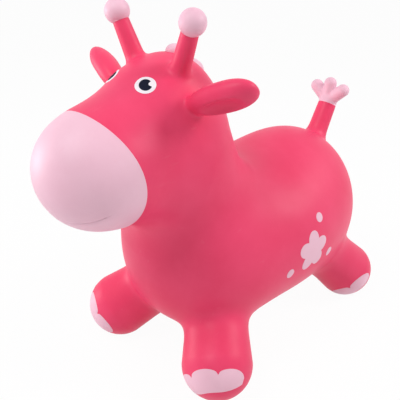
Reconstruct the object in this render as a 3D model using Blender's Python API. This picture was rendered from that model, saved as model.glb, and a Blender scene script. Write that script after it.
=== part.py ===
"""An inflatable ride-on hopper animal, in metres, +Z up.

The animal faces -Y, its left side is +X and its four soles rest on Z = 0. Every skin
panel lies on one blended form, so neighbouring panels meet edge to edge in one surface.
"""
import math

import bmesh
import bpy
import numpy as np
from mathutils import Matrix, Vector

# Middle of the animal's length, which is moved onto the origin
MIDDLE_Y = -0.05356

# Skin, seams and printed areas
WALL = 0.0016
SEAM_GAP = 0.0003
PRINT_THICKNESS = 0.0006
PRINT_LIFT = 0.0007

# Trunk: a long barrel with a chest and a rump swelling out of it
BARREL_Y = 0.019
BARREL_Z = 0.1735
BARREL_HALF_WIDTH = 0.1385
BARREL_HALF_LENGTH = 0.180
BARREL_HALF_HEIGHT = 0.119
CHEST_Y = -0.098
CHEST_Z = 0.1615
CHEST_HALF_WIDTH = 0.1145
CHEST_HALF_LENGTH = 0.1075
CHEST_HALF_HEIGHT = 0.111
RUMP_Y = 0.1195
RUMP_Z = 0.176
RUMP_HALF_WIDTH = 0.1105
RUMP_HALF_LENGTH = 0.117
RUMP_HALF_HEIGHT = 0.130
TRUNK_BLEND = 0.086

# Neck: a round cone that leans forward from the withers
NECK_BASE_Y = -0.119
NECK_BASE_Z = 0.237
NECK_BASE_RADIUS = 0.092
NECK_TOP_Y = -0.163
NECK_TOP_Z = 0.357
NECK_TOP_RADIUS = 0.077
NECK_BLEND = 0.080
NECK_COLLAR = 0.055

# Head: skull, jaw and brow, with the muzzle in front of them
SKULL_Y = -0.164
SKULL_Z = 0.388
SKULL_HALF_WIDTH = 0.068
SKULL_HALF_LENGTH = 0.061
SKULL_HALF_HEIGHT = 0.079
JAW_BACK_Y = -0.173
JAW_BACK_Z = 0.322
JAW_BACK_RADIUS = 0.082
JAW_FRONT_Y = -0.2435
JAW_FRONT_Z = 0.343
JAW_FRONT_RADIUS = 0.0745
BROW_BACK_Y = -0.2005
BROW_BACK_Z = 0.3955
BROW_BACK_RADIUS = 0.0612
BROW_FRONT_Y = -0.2565
BROW_FRONT_Z = 0.3675
BROW_FRONT_RADIUS = 0.053
HEAD_BLEND = 0.044
MUZZLE_Y = -0.2865
MUZZLE_Z = 0.344
MUZZLE_HALF_WIDTH = 0.074
MUZZLE_HALF_LENGTH = 0.0703
MUZZLE_HALF_HEIGHT = 0.0717
MUZZLE_TILT = math.radians(-30)
MUZZLE_BLEND = 0.036

# Seams across the head: planes that fan out from the throat, and a curved paint line
THROAT_Y = -0.240
THROAT_Z = 0.248
NECK_SEAM_ANGLE = math.radians(20)
NAPE_SEAM_ANGLE = math.radians(43)
FACE_ANGLE = math.radians(96)
PAINT_LINE_Y = -0.2889
PAINT_LINE_Z = 0.344
PAINT_LINE_LEAN = math.radians(9.3)
PAINT_LINE_BOW_RADIUS = 0.183

# Legs: round cones that splay from the trunk to a ball of a foot
SOLE_DEPTH = 0.003
LEG_BLEND = 0.033
LEG_COLLAR = 0.036
FRONT_HIP_X = 0.059
FRONT_HIP_Y = -0.1215
FRONT_HIP_Z = 0.0955
FRONT_HIP_RADIUS = 0.0436
FRONT_FOOT_X = 0.1055
FRONT_FOOT_Y = -0.169
FRONT_FOOT_RADIUS = 0.0506
HIND_HIP_X = 0.0645
HIND_HIP_Y = 0.125
HIND_HIP_Z = 0.1165
HIND_HIP_RADIUS = 0.0412
HIND_FOOT_X = 0.0955
HIND_FOOT_Y = 0.195
HIND_FOOT_RADIUS = 0.0485
LEG_SEAM_CLEARANCE = 0.0034
FRONT_LEG_ROOT_LENGTH = 0.046
HIND_LEG_ROOT_LENGTH = 0.074

# Ears: flattened, with a shallow hollow in the front
EAR_ROOT_X = 0.082
EAR_ROOT_Y = -0.185
EAR_ROOT_Z = 0.4245
EAR_TIP_X = 0.1235
EAR_TIP_Y = -0.1705
EAR_TIP_Z = 0.441
EAR_HALF_WIDTH = 0.0213
EAR_HALF_THICKNESS = 0.0165
EAR_ROLL = math.radians(-38)
EAR_HOLLOW_DEPTH = 0.0062
EAR_HOLLOW_RIM = 0.005
EAR_BLEND = 0.014
EAR_SEAM_RADIUS = 0.0245
EAR_ROOT_LENGTH = 0.002

# Horns, with a ball on each
HORN_ROOT_X = 0.0375
HORN_ROOT_Y = -0.181
HORN_ROOT_Z = 0.4515
HORN_ROOT_RADIUS = 0.0128
HORN_TIP_X = 0.0593
HORN_TIP_Y = -0.187
HORN_TIP_Z = 0.499
HORN_TIP_RADIUS = 0.0107
HORN_BLEND = 0.013
HORN_COLLAR = 0.014
HORN_SEAM_RADIUS = 0.0168
HORN_ROOT_LENGTH = 0.026
HORN_BALL_RADIUS = 0.0161
HORN_BALL_DISTANCE = 0.0672
HORN_BALL_CREASE = 0.0015

# Tail, with a three-lobed tuft
TAIL_ROOT_Y = 0.197
TAIL_ROOT_Z = 0.268
TAIL_ROOT_RADIUS = 0.0178
TAIL_TIP_Y = 0.2345
TAIL_TIP_Z = 0.337
TAIL_TIP_RADIUS = 0.0157
TAIL_BLEND = 0.030
TAIL_SEAM_RADIUS = 0.0265
TAIL_ROOT_LENGTH = 0.038
TUFT_START = 0.071
TUFT_SPREAD = 0.0262
TUFT_SIDE_RISE = 0.0219
TUFT_TOP_RISE = 0.030
TUFT_LOBE_RADIUS = 0.0109
TUFT_NECK_RADIUS = 0.0116
TUFT_BLEND = 0.004

# Mane: a row of lobes down the nape
MANE_CROWN_ANGLE = math.radians(71.5)
MANE_NAPE_ANGLE = math.radians(44.5)
MANE_HALF_WIDTH = 0.013
MANE_LOBE_HEIGHT = 0.0105
MANE_NOTCH_HEIGHT = 0.004
MANE_LOBES = 3

# Eyes, printed on the brow
EYE_X = 0.0300
EYE_Y = -0.2285
EYE_Z = 0.4425
EYE_HALF_LENGTH = 0.0127
EYE_HALF_HEIGHT = 0.0114
EYE_LEAN = math.radians(14)
PUPIL_RADIUS = 0.0077
GLINT_RADIUS = 0.0030
GLINT_OFFSET = 0.0066

# Toe prints: a band of lobes on each foot, in angles round and away from the print's own axis
PRINT_HEEL_ANGLE = math.radians(29)
PRINT_END_ANGLE = math.radians(49)
PRINT_END_RISE = math.radians(4)
PRINT_END_SHARE = 0.08
FRONT_TOE_COUNT = 3
HIND_TOE_COUNT = 2
FRONT_TOES = {"heading": math.radians(-45.7), "pitch": math.radians(-36), "lobes": FRONT_TOE_COUNT,
              "start": math.radians(-52), "width": math.radians(54),
              "notch": math.radians(60), "top": math.radians(70)}
HIND_TOES = {"heading": math.radians(13.4), "pitch": math.radians(-48), "lobes": HIND_TOE_COUNT,
             "start": math.radians(12), "width": math.radians(64),
             "notch": math.radians(55), "top": math.radians(67)}

# Flower print on the left flank
FLOWER_Y = 0.004
FLOWER_Z = 0.176
FLOWER_RADIUS = 0.033
FLOWER_PETALS = 5
FLOWER_WAIST_SHARE = 0.62
DOT_RADIUS = 0.0075
DOT_DISTANCE = 0.054
DOT_ANGLES = {"rear": math.radians(-24), "upper": math.radians(66), "front": math.radians(204)}

# Valve in the belly
VALVE_Y = 0.106
VALVE_BORE_RADIUS = 0.0050
VALVE_TUBE_RADIUS = 0.0085
VALVE_FLANGE_RADIUS = 0.0135
VALVE_FLANGE_RISE = 0.0032
VALVE_TUBE_LENGTH = 0.014
VALVE_LIP = 0.0012
PLUG_HEAD_RADIUS = 0.0078
PLUG_HEAD_THICKNESS = 0.0022
PLUG_STEM_LENGTH = 0.011
PLUG_TIP_LENGTH = 0.0015
PLUG_TIP_SHARE = 0.75

# Facet counts
TRUNK_SIDES = 36
TRUNK_RINGS = 24
HEAD_SIDES = 32
NECK_RINGS = 4
FACE_RINGS = 13
MUZZLE_EDGE_RINGS = 3
MUZZLE_RINGS = 7
LEG_SIDES = 20
LEG_END_RINGS = 4
EAR_SIDES = 16
EAR_END_RINGS = 5
HORN_SIDES = 14
BALL_RINGS = 4
TAIL_SIDES = 16
TUFT_SIDES = 26
TUFT_END_RINGS = 9
TUFT_CROWDING = 0.5
PRINT_STEPS = 24
PRINT_ROWS = 3
PRINT_LOBE_STEPS = 6
MANE_LOBE_STEPS = 5
MANE_ROWS = 6
VALVE_SIDES = 16

# Plastics: colour and roughness
PLASTICS = {
    "raspberry": ((0.855, 0.083, 0.170, 1.0), 0.38),
    "blush": ((0.930, 0.610, 0.720, 1.0), 0.40),
    "white": ((0.930, 0.930, 0.930, 1.0), 0.35),
    "navy": ((0.012, 0.014, 0.035, 1.0), 0.30),
}

# How places are found on the form
PROBE = WALL / 8
SETTLE_STEPS = 12
MARCH_STEPS = 60
MARCH_SHARE = 0.8
LEAST_STEEPNESS = 0.25
PRINT_LEVELS = (PRINT_LIFT + PRINT_THICKNESS, PRINT_LIFT)
SIDES = {"left": 1, "right": -1}


def unit(vectors):
    return vectors / np.linalg.norm(vectors, axis=-1, keepdims=True)


def point(x, y, z):
    return np.array([x, y, z])


def plane_point(y, z):
    return point(0.0, y, z)


# The blended form: distances that are negative inside


def smooth_min(first, second, width):
    closeness = np.clip(1 - np.abs(first - second) / width, 0, 1)
    return np.minimum(first, second) - closeness ** 3 * width / 6


def swell(points, centre, radii, turn=np.eye(3)):
    """Nearly the distance from a turned ellipsoid."""
    local = (points - centre) @ turn.T
    scaled = np.linalg.norm(local / radii, axis=1)
    steepness = np.linalg.norm(local / radii ** 2, axis=1)
    at_centre = scaled < PROBE / radii.max()
    distance = scaled * (scaled - 1) / np.where(at_centre, 1 / radii.min(), steepness)
    return np.where(at_centre, -radii.min(), distance)


def round_cone(points, start, end, start_radius, end_radius):
    span = end - start
    share = np.clip((points - start) @ span / (span @ span), 0, 1)
    nearest = start + share[:, None] * span
    return np.linalg.norm(points - nearest, axis=1) - (start_radius + (end_radius - start_radius) * share)


def nod(angle):
    """A turn about the X axis."""
    cosine, sine = math.cos(angle), math.sin(angle)
    return np.array([[1, 0, 0], [0, cosine, -sine], [0, sine, cosine]])


def trunk_form(points):
    barrel = swell(points, plane_point(BARREL_Y, BARREL_Z),
                   point(BARREL_HALF_WIDTH, BARREL_HALF_LENGTH, BARREL_HALF_HEIGHT))
    chest = swell(points, plane_point(CHEST_Y, CHEST_Z),
                  point(CHEST_HALF_WIDTH, CHEST_HALF_LENGTH, CHEST_HALF_HEIGHT))
    rump = swell(points, plane_point(RUMP_Y, RUMP_Z),
                 point(RUMP_HALF_WIDTH, RUMP_HALF_LENGTH, RUMP_HALF_HEIGHT))
    return smooth_min(smooth_min(chest, rump, TRUNK_BLEND), barrel, TRUNK_BLEND)


def body_form(points):
    """Trunk, neck, head and muzzle, without the limbs."""
    neck = round_cone(points, plane_point(NECK_BASE_Y, NECK_BASE_Z), plane_point(NECK_TOP_Y, NECK_TOP_Z),
                      NECK_BASE_RADIUS, NECK_TOP_RADIUS)
    skull = swell(points, plane_point(SKULL_Y, SKULL_Z),
                  point(SKULL_HALF_WIDTH, SKULL_HALF_LENGTH, SKULL_HALF_HEIGHT))
    brow = round_cone(points, plane_point(BROW_BACK_Y, BROW_BACK_Z), plane_point(BROW_FRONT_Y, BROW_FRONT_Z),
                      BROW_BACK_RADIUS, BROW_FRONT_RADIUS)
    jaw = round_cone(points, plane_point(JAW_BACK_Y, JAW_BACK_Z), plane_point(JAW_FRONT_Y, JAW_FRONT_Z),
                     JAW_BACK_RADIUS, JAW_FRONT_RADIUS)
    muzzle = swell(points, plane_point(MUZZLE_Y, MUZZLE_Z),
                   point(MUZZLE_HALF_WIDTH, MUZZLE_HALF_LENGTH, MUZZLE_HALF_HEIGHT), nod(MUZZLE_TILT))
    form = smooth_min(trunk_form(points), neck, NECK_BLEND)
    for bulge in (skull, brow, jaw):
        form = smooth_min(form, bulge, HEAD_BLEND)
    return smooth_min(form, muzzle, MUZZLE_BLEND)


class Limb:
    """A limb's axis, from a root inside the body to the middle of its end."""

    def __init__(self, root, tip, root_radius, tip_radius, blend, seam_radius, root_length):
        self.root = root
        self.tip = tip
        self.root_radius = root_radius
        self.tip_radius = tip_radius
        self.blend = blend
        self.seam_radius = seam_radius
        self.root_length = root_length
        self.length = np.linalg.norm(tip - root)
        self.axis = unit(tip - root)
        self.across = unit(np.cross(self.axis, point(0.0, 1.0, 0.0)))
        self.along = np.cross(self.axis, self.across)

    def form(self, points):
        return round_cone(points, self.root, self.tip, self.root_radius, self.tip_radius)

    def at(self, distance):
        return self.root + self.axis * distance

    def spokes(self, count, crowding=0.0):
        """Directions round the axis, with a share of them crowded to both sides."""
        angles = np.arange(count) * math.tau / count
        angles = angles - crowding * np.sin(angles * 2) / 2
        return np.outer(np.cos(angles), self.across) + np.outer(np.sin(angles), self.along)

    def sleeve(self, points):
        """Distance from the cylinder round the axis where the limb's skin starts."""
        local = points - self.root
        radial = local - np.outer(local @ self.axis, self.axis)
        return np.linalg.norm(radial, axis=1) - self.seam_radius + SEAM_GAP


class Ear(Limb):
    """A flattened limb with a hollow in its front face."""

    def __init__(self, root, tip, half_width, half_thickness, roll, blend, seam_radius, root_length):
        super().__init__(root, tip, half_width, half_width, blend, seam_radius, root_length)
        self.half_thickness = half_thickness
        level = unit(np.cross(point(0.0, 1.0, 0.0), self.axis))
        upright = np.cross(self.axis, level)
        self.face = level * math.cos(roll) + upright * math.sin(roll)
        self.width = upright * math.cos(roll) - level * math.sin(roll)

    def form(self, points):
        turn = np.stack([self.face, self.width, self.axis])
        radii = point(self.half_thickness, self.tip_radius, self.length / 2 + self.tip_radius)
        middle = (self.root + self.tip) / 2
        hollow_radii = radii - point(0.0, EAR_HOLLOW_RIM, EAR_HOLLOW_RIM * 2)
        hollow_middle = middle + self.face * (self.half_thickness * 2 - EAR_HOLLOW_DEPTH)
        solid = swell(points, middle, radii, turn)
        hollow = swell(points, hollow_middle, hollow_radii, turn)
        return -smooth_min(-solid, hollow, EAR_HOLLOW_RIM)


class Horn(Limb):
    """A tapered limb that ends in a ball."""

    def form(self, points):
        ball = np.linalg.norm(points - self.at(HORN_BALL_DISTANCE), axis=1) - HORN_BALL_RADIUS
        return smooth_min(super().form(points), ball, HORN_BALL_CREASE)


class Tail(Limb):
    """A tapered limb that ends in a tuft of three lobes."""

    def form(self, points):
        side = self.tip + point(TUFT_SPREAD, 0.0, TUFT_SIDE_RISE)
        top = self.tip + point(0.0, 0.0, TUFT_TOP_RISE)
        side_lobes = round_cone(points, self.tip, side, TUFT_NECK_RADIUS, TUFT_LOBE_RADIUS)
        top_lobe = round_cone(points, self.tip, top, TUFT_NECK_RADIUS, TUFT_LOBE_RADIUS)
        tuft = smooth_min(side_lobes, top_lobe, TUFT_BLEND)
        return smooth_min(super().form(points), tuft, TUFT_BLEND)


FRONT_LEG = Limb(point(FRONT_HIP_X, FRONT_HIP_Y, FRONT_HIP_Z),
                 point(FRONT_FOOT_X, FRONT_FOOT_Y, FRONT_FOOT_RADIUS - SOLE_DEPTH),
                 FRONT_HIP_RADIUS, FRONT_FOOT_RADIUS, LEG_BLEND,
                 FRONT_FOOT_RADIUS + LEG_SEAM_CLEARANCE, FRONT_LEG_ROOT_LENGTH)
HIND_LEG = Limb(point(HIND_HIP_X, HIND_HIP_Y, HIND_HIP_Z),
                point(HIND_FOOT_X, HIND_FOOT_Y, HIND_FOOT_RADIUS - SOLE_DEPTH),
                HIND_HIP_RADIUS, HIND_FOOT_RADIUS, LEG_BLEND,
                HIND_FOOT_RADIUS + LEG_SEAM_CLEARANCE, HIND_LEG_ROOT_LENGTH)
EAR = Ear(point(EAR_ROOT_X, EAR_ROOT_Y, EAR_ROOT_Z), point(EAR_TIP_X, EAR_TIP_Y, EAR_TIP_Z),
          EAR_HALF_WIDTH, EAR_HALF_THICKNESS, EAR_ROLL, EAR_BLEND, EAR_SEAM_RADIUS, EAR_ROOT_LENGTH)
HORN = Horn(point(HORN_ROOT_X, HORN_ROOT_Y, HORN_ROOT_Z), point(HORN_TIP_X, HORN_TIP_Y, HORN_TIP_Z),
            HORN_ROOT_RADIUS, HORN_TIP_RADIUS, HORN_BLEND, HORN_SEAM_RADIUS, HORN_ROOT_LENGTH)
TAIL = Tail(plane_point(TAIL_ROOT_Y, TAIL_ROOT_Z), plane_point(TAIL_TIP_Y, TAIL_TIP_Z),
            TAIL_ROOT_RADIUS, TAIL_TIP_RADIUS, TAIL_BLEND, TAIL_SEAM_RADIUS, TAIL_ROOT_LENGTH)


def fold(points):
    """The same places on the left side."""
    return points * point(0.0, 1.0, 1.0) + np.abs(points) * point(1.0, 0.0, 0.0)


def skin_form(points):
    """The whole skin, cut flat at the soles: the body with its limbs blended in."""
    folded = fold(points)
    form = body_form(folded)
    for limb in (FRONT_LEG, HIND_LEG, EAR, HORN, TAIL):
        form = smooth_min(form, limb.form(folded), limb.blend)
    return np.maximum(form, -points[:, 2])


def raised(form, level):
    return lambda points: form(points) - level


def slope(points, form):
    """The direction in which a form's distance grows."""
    columns = []
    for step in np.eye(3) * PROBE:
        columns.append((form(points + step) - form(points - step)) / (2 * PROBE))
    return np.stack(columns, axis=1)


def settle(points, *forms):
    """Move points along the slopes of the forms until they lie on each of them."""
    for _ in range(SETTLE_STEPS):
        for form in forms:
            grade = slope(points, form)
            steepness = np.maximum((grade ** 2).sum(axis=1), LEAST_STEEPNESS)
            points = points - grade * (form(points) / steepness)[:, None]
    return points


def march(origins, directions, form, inwards=False):
    """How far each ray goes to the form: out of it, or into it from outside."""
    step_share = MARCH_SHARE if inwards else -MARCH_SHARE
    travelled = np.zeros(len(directions))
    for _ in range(MARCH_STEPS):
        travelled = travelled + form(origins + directions * travelled[:, None]) * step_share
    return travelled


def cast(origins, directions, form):
    """The places where rays from inside leave the form."""
    return origins + directions * march(origins, directions, form)[:, None]


# Meshes


def plastic(name):
    """The material of a colour, made the first time it is asked for."""
    if name in bpy.data.materials:
        return bpy.data.materials[name]
    colour, roughness = PLASTICS[name]
    material = bpy.data.materials.new(name)
    material.use_nodes = True
    shader = material.node_tree.nodes["Principled BSDF"]
    shader.inputs["Base Color"].default_value = colour
    shader.inputs["Roughness"].default_value = roughness
    shader.inputs["Metallic"].default_value = 0.0
    material.diffuse_color = colour
    return material


def add_object(name, builder, plastic_name, origin=np.zeros(3)):
    """An object from a finished bmesh, with its origin at the given place."""
    bmesh.ops.translate(builder, verts=builder.verts[:], vec=-origin)
    mesh = bpy.data.meshes.new(name)
    builder.to_mesh(mesh)
    builder.free()
    mesh.shade_smooth()
    mesh.materials.append(plastic(plastic_name))
    built = bpy.data.objects.new(name, mesh)
    built.location = origin
    bpy.context.scene.collection.objects.link(built)
    return built


def carry(carrier, piece):
    """Parent a piece to its carrier and leave it where it is."""
    piece.location = piece.location - carrier.location
    piece.parent = carrier


def add_strip(builder, row, following, closed, inward):
    """Two triangles between each pair of neighbours, split the same way on every level."""
    for index in range(len(row) if closed else len(row) - 1):
        neighbour = (index + 1) % len(row)
        for corners in ((row[index], row[neighbour], following[neighbour]),
                        (row[index], following[neighbour], following[index])):
            builder.faces.new(corners[::-1] if inward else corners)


def add_sheet(builder, rings, poles, inward):
    """Strips between closed rings, with a fan of triangles at each pole."""
    rows = [[builder.verts.new(place) for place in ring] for ring in rings]
    for row, following in zip(rows, rows[1:]):
        add_strip(builder, row, following, True, inward)
    for pole, row, turned in ((poles[0], rows[0], True), (poles[1], rows[-1], False)):
        if pole is None:
            continue
        hub = builder.verts.new(pole)
        for index, vertex in enumerate(row):
            corners = (vertex, row[(index + 1) % len(row)], hub)
            builder.faces.new(corners[::-1] if turned != inward else corners)
    return rows[0], rows[-1]


def face_outward(builder):
    if builder.calc_volume(signed=True) < 0:
        bmesh.ops.reverse_faces(builder, faces=builder.faces[:])


def layers(make_rings, levels=(0.0, -WALL)):
    """The rings and poles of a panel on each of its two levels."""
    return [make_rings(level) for level in levels]


def add_panel(name, panel, plastic_name, side=1, origin=np.zeros(3)):
    """A closed sheet between two levels of the form.

    Each level has rings and a pole at each end, or None where that end is open.
    """
    flip = point(float(side), 1.0, 1.0)
    builder = bmesh.new()
    edges = []
    for layer, (rings, start_pole, end_pole) in enumerate(panel):
        poles = [None if pole is None else pole * flip for pole in (start_pole, end_pole)]
        edges.append(add_sheet(builder, [ring * flip for ring in rings], poles, layer == 1))
    for end, pole in enumerate(poles):
        if pole is None:
            add_strip(builder, edges[0][end], edges[1][end], True, end == 0)
    face_outward(builder)
    return add_object(name, builder, plastic_name, origin * flip)


def add_slab(name, top, bottom, plastic_name, side=1, origin=np.zeros(3)):
    """A closed solid between two grids of points."""
    flip = point(float(side), 1.0, 1.0)
    builder = bmesh.new()
    rims = []
    for layer, grid in enumerate((top, bottom)):
        rows = [[builder.verts.new(place * flip) for place in row] for row in grid]
        for row, following in zip(rows, rows[1:]):
            add_strip(builder, row, following, False, layer == 1)
        far_side = [row[-1] for row in rows[1:-1]]
        near_side = [row[0] for row in rows[-2:0:-1]]
        rims.append(rows[0] + far_side + rows[-1][::-1] + near_side)
    add_strip(builder, rims[0], rims[1], True, True)
    face_outward(builder)
    return add_object(name, builder, plastic_name, origin * flip)


def revolve(name, profile, centre, plastic_name, sides):
    """A profile of radius and height turned round an upright axis through the centre."""
    builder = bmesh.new()
    corners = [builder.verts.new(centre + point(radius, 0.0, height)) for radius, height in profile]
    edges = [builder.edges.new(pair) for pair in zip(corners, corners[1:] + corners[:1])]
    if profile[0][0] == 0.0:
        builder.edges.remove(edges.pop())
    bmesh.ops.spin(builder, geom=corners + edges, cent=centre, axis=(0.0, 0.0, 1.0),
                   angle=math.tau, steps=sides, use_merge=True)
    bmesh.ops.remove_doubles(builder, verts=builder.verts[:], dist=PROBE)
    bmesh.ops.recalc_face_normals(builder, faces=builder.faces[:])
    return add_object(name, builder, plastic_name, centre)


def cut(target, cutter):
    """Take the cutter out of the target."""
    cutter.hide_render = True
    cutter.display_type = 'WIRE'
    opening = target.modifiers.new(cutter.name, 'BOOLEAN')
    opening.operation = 'DIFFERENCE'
    opening.solver = 'EXACT'
    opening.object = cutter


def cut_sleeve(target, limb, name, count, side):
    """Open the target round a limb's axis, from just inside the seam to past the limb's end."""
    flip = point(float(side), 1.0, 1.0)
    rim = seam_ring(limb, count, 0.0)
    depth = ((rim - limb.root) @ limb.axis).min() - WALL * 6
    spokes = limb.spokes(count) * limb.seam_radius
    rings = [(limb.at(distance) + spokes) * flip for distance in (depth, limb.length + limb.seam_radius * 3)]
    builder = bmesh.new()
    near, far = add_sheet(builder, rings, (None, None), False)
    builder.faces.new(near[::-1])
    builder.faces.new(far)
    face_outward(builder)
    cut(target, add_object(name + "_opening", builder, "raspberry"))


# Limbs


def seam_ring(limb, count, level):
    """Where the skin's level crosses the sleeve round a limb, met from outside."""
    form = raised(skin_form, level)
    starts = limb.tip + limb.spokes(count) * (limb.seam_radius - SEAM_GAP)
    inwards = np.repeat(-limb.axis[None], count, axis=0)
    reached = starts + inwards * march(starts, inwards, form, inwards=True)[:, None]
    return settle(reached, form, limb.sleeve)


def station_ring(limb, distance, count, level):
    """The skin's section by a plane across a limb."""
    return cast(limb.at(distance), limb.spokes(count), raised(skin_form, level))


def fan_rings(origin, starts, finish, steps, level):
    """Rings round a rounded end: rays that turn from their starts to one finish."""
    rings = []
    for step in range(1, steps + 1):
        share = step / (steps + 1)
        directions = unit(starts * math.cos(share * math.pi / 2) + finish * math.sin(share * math.pi / 2))
        rings.append(cast(origin, directions, raised(skin_form, level)))
    return rings, cast(origin, finish[None], raised(skin_form, level))[0]


def rings_between(first, last, rows, level):
    """The first ring and the ones on the skin between it and the last."""
    rings = [first]
    for row in range(1, rows):
        share = row / rows
        rings.append(settle(first * (1 - share) + last * share, raised(skin_form, level)))
    return rings


def limb_root_rings(limb, count, rows, level):
    """The short length of skin between body and limb, which bends as the limb moves."""
    first = seam_ring(limb, count, level)
    last = station_ring(limb, limb.root_length - SEAM_GAP, count, level)
    return rings_between(first, last, rows, level) + [last], None, None


def tube_rings(limb, start, end, count, rows, level):
    """Sections of a limb at even steps, open at both ends."""
    distances = np.linspace(start, end, rows + 1)
    return [station_ring(limb, distance, count, level) for distance in distances], None, None


def leg_rings(limb, level):
    """A leg from its root to the flat sole under the foot."""
    spokes = limb.spokes(LEG_SIDES)
    rings = tube_rings(limb, limb.root_length, limb.length, LEG_SIDES, 2, level)[0]
    down = point(0.0, 0.0, -1.0)
    tilt = limb.axis @ down
    hinge = unit(np.cross(limb.axis, down))
    level_spokes = spokes * tilt + np.cross(hinge, spokes) * math.sqrt(1 - tilt ** 2)
    level_spokes = level_spokes + np.outer(spokes @ hinge, hinge) * (1 - tilt)
    foot_height = limb.tip[2]
    sole_radius = math.sqrt(limb.tip_radius ** 2 - foot_height ** 2)
    for step in range(1, LEG_END_RINGS + 1):
        share = step / LEG_END_RINGS
        towards_sole = unit(level_spokes * sole_radius + down * foot_height)
        directions = unit(spokes * (1 - share) + towards_sole * share)
        rings.append(cast(limb.tip, directions, raised(skin_form, level)))
    towards_middle = unit(level_spokes * sole_radius / 2 + down * foot_height)
    rings.append(cast(limb.tip, towards_middle, raised(skin_form, level)))
    return rings, None, cast(limb.tip, down[None], raised(skin_form, level))[0]


def print_grid(limb, toes, level):
    """A lobed band on a foot: columns round the print's axis, rows away from it."""
    level_reach = math.cos(toes["pitch"])
    axis = point(math.cos(toes["heading"]) * level_reach, math.sin(toes["heading"]) * level_reach,
                 math.sin(toes["pitch"]))
    upward = unit(point(0.0, 0.0, 1.0) - axis * axis[2])
    sideways = np.cross(axis, upward)
    columns = toes["lobes"] * PRINT_LOBE_STEPS
    grid = []
    for column in range(columns + 1):
        lobe = min(column // PRINT_LOBE_STEPS, toes["lobes"] - 1)
        across = 2 * (column / PRINT_LOBE_STEPS - lobe) - 1
        turn = toes["start"] + toes["width"] * column / PRINT_LOBE_STEPS
        valley = toes["notch"]
        if (lobe == 0 and across < 0) or (lobe == toes["lobes"] - 1 and across > 0):
            turn += toes["width"] * across * PRINT_END_SHARE
            valley = PRINT_END_ANGLE + PRINT_END_RISE
        top = valley + (toes["top"] - valley) * math.sqrt(1 - across ** 2)
        towards_end = abs(2 * column / columns - 1)
        heel = PRINT_HEEL_ANGLE + (PRINT_END_ANGLE - PRINT_HEEL_ANGLE) * towards_end ** 4
        spoke = upward * math.cos(turn) + sideways * math.sin(turn)
        angles = np.linspace(heel, top, PRINT_ROWS + 1)
        directions = np.outer(np.cos(angles), axis) + np.outer(np.sin(angles), spoke)
        grid.append(cast(limb.tip, directions, raised(skin_form, level)))
    return grid


def add_legs():
    for place, limb, toes in (("front", FRONT_LEG, FRONT_TOES), ("hind", HIND_LEG, HIND_TOES)):
        root_panel = layers(lambda level: limb_root_rings(limb, LEG_SIDES, 3, level))
        leg_panel = layers(lambda level: leg_rings(limb, level))
        top, bottom = (print_grid(limb, toes, level) for level in PRINT_LEVELS)
        for side_name, side in SIDES.items():
            name = side_name + "_" + place + "_leg"
            add_panel(name + "_root", root_panel, "raspberry", side)
            leg = add_panel(name, leg_panel, "raspberry", side, limb.root)
            carry(leg, add_slab(name + "_toe_print", top, bottom, "blush", side, limb.root))
            cut_sleeve(bpy.data.objects["trunk"], limb, name, LEG_SIDES, side)


def ear_rings(level):
    count = EAR_SIDES
    middle = EAR.length / 2
    rings = tube_rings(EAR, EAR.root_length, middle, count, 2, level)[0]
    ends, tip = fan_rings(EAR.at(middle), EAR.spokes(count), EAR.axis, EAR_END_RINGS, level)
    return rings + ends, None, tip


def add_ears():
    root_panel = layers(lambda level: limb_root_rings(EAR, EAR_SIDES, 2, level))
    ear_panel = layers(ear_rings)
    for side_name, side in SIDES.items():
        name = side_name + "_ear"
        add_panel(name + "_root", root_panel, "raspberry", side)
        add_panel(name, ear_panel, "raspberry", side, EAR.root)
        cut_sleeve(bpy.data.objects["head"], EAR, name, EAR_SIDES, side)


HORN_CREASE_DISTANCE = HORN_BALL_DISTANCE - math.sqrt(HORN_BALL_RADIUS ** 2 - HORN_TIP_RADIUS ** 2)


def ball_rings(level):
    """The ball, from the crease where the horn enters it to its top."""
    count = HORN_SIDES
    rings = [station_ring(HORN, HORN_CREASE_DISTANCE + SEAM_GAP, count, level)]
    spokes = HORN.spokes(count)
    crease_turn = math.acos((HORN_CREASE_DISTANCE - HORN_BALL_DISTANCE) / HORN_BALL_RADIUS)
    for step in range(1, BALL_RINGS + 1):
        turn = crease_turn * (1 - step / (BALL_RINGS + 1))
        directions = HORN.axis * math.cos(turn) + spokes * math.sin(turn)
        rings.append(cast(HORN.at(HORN_BALL_DISTANCE), directions, raised(skin_form, level)))
    return rings, None, HORN.at(HORN_BALL_DISTANCE + HORN_BALL_RADIUS + level)


def add_horns():
    root_panel = layers(lambda level: limb_root_rings(HORN, HORN_SIDES, 3, level))
    horn_panel = layers(lambda level: tube_rings(HORN, HORN.root_length, HORN_CREASE_DISTANCE,
                                                 HORN_SIDES, 2, level))
    ball_panel = layers(ball_rings)
    for side_name, side in SIDES.items():
        name = side_name + "_horn"
        add_panel(name + "_root", root_panel, "raspberry", side)
        horn = add_panel(name, horn_panel, "raspberry", side, HORN.root)
        carry(horn, add_panel(name + "_ball", ball_panel, "blush", side, HORN.root))
        cut_sleeve(bpy.data.objects["head"], HORN, name, HORN_SIDES, side)


def tuft_rings(level):
    spokes = TAIL.spokes(TUFT_SIDES, TUFT_CROWDING)
    start = cast(TAIL.at(TUFT_START + SEAM_GAP), spokes, raised(skin_form, level))
    ends, tip = fan_rings(TAIL.tip, spokes, point(0.0, 0.0, 1.0), TUFT_END_RINGS, level)
    return [start] + ends, None, tip


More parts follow.
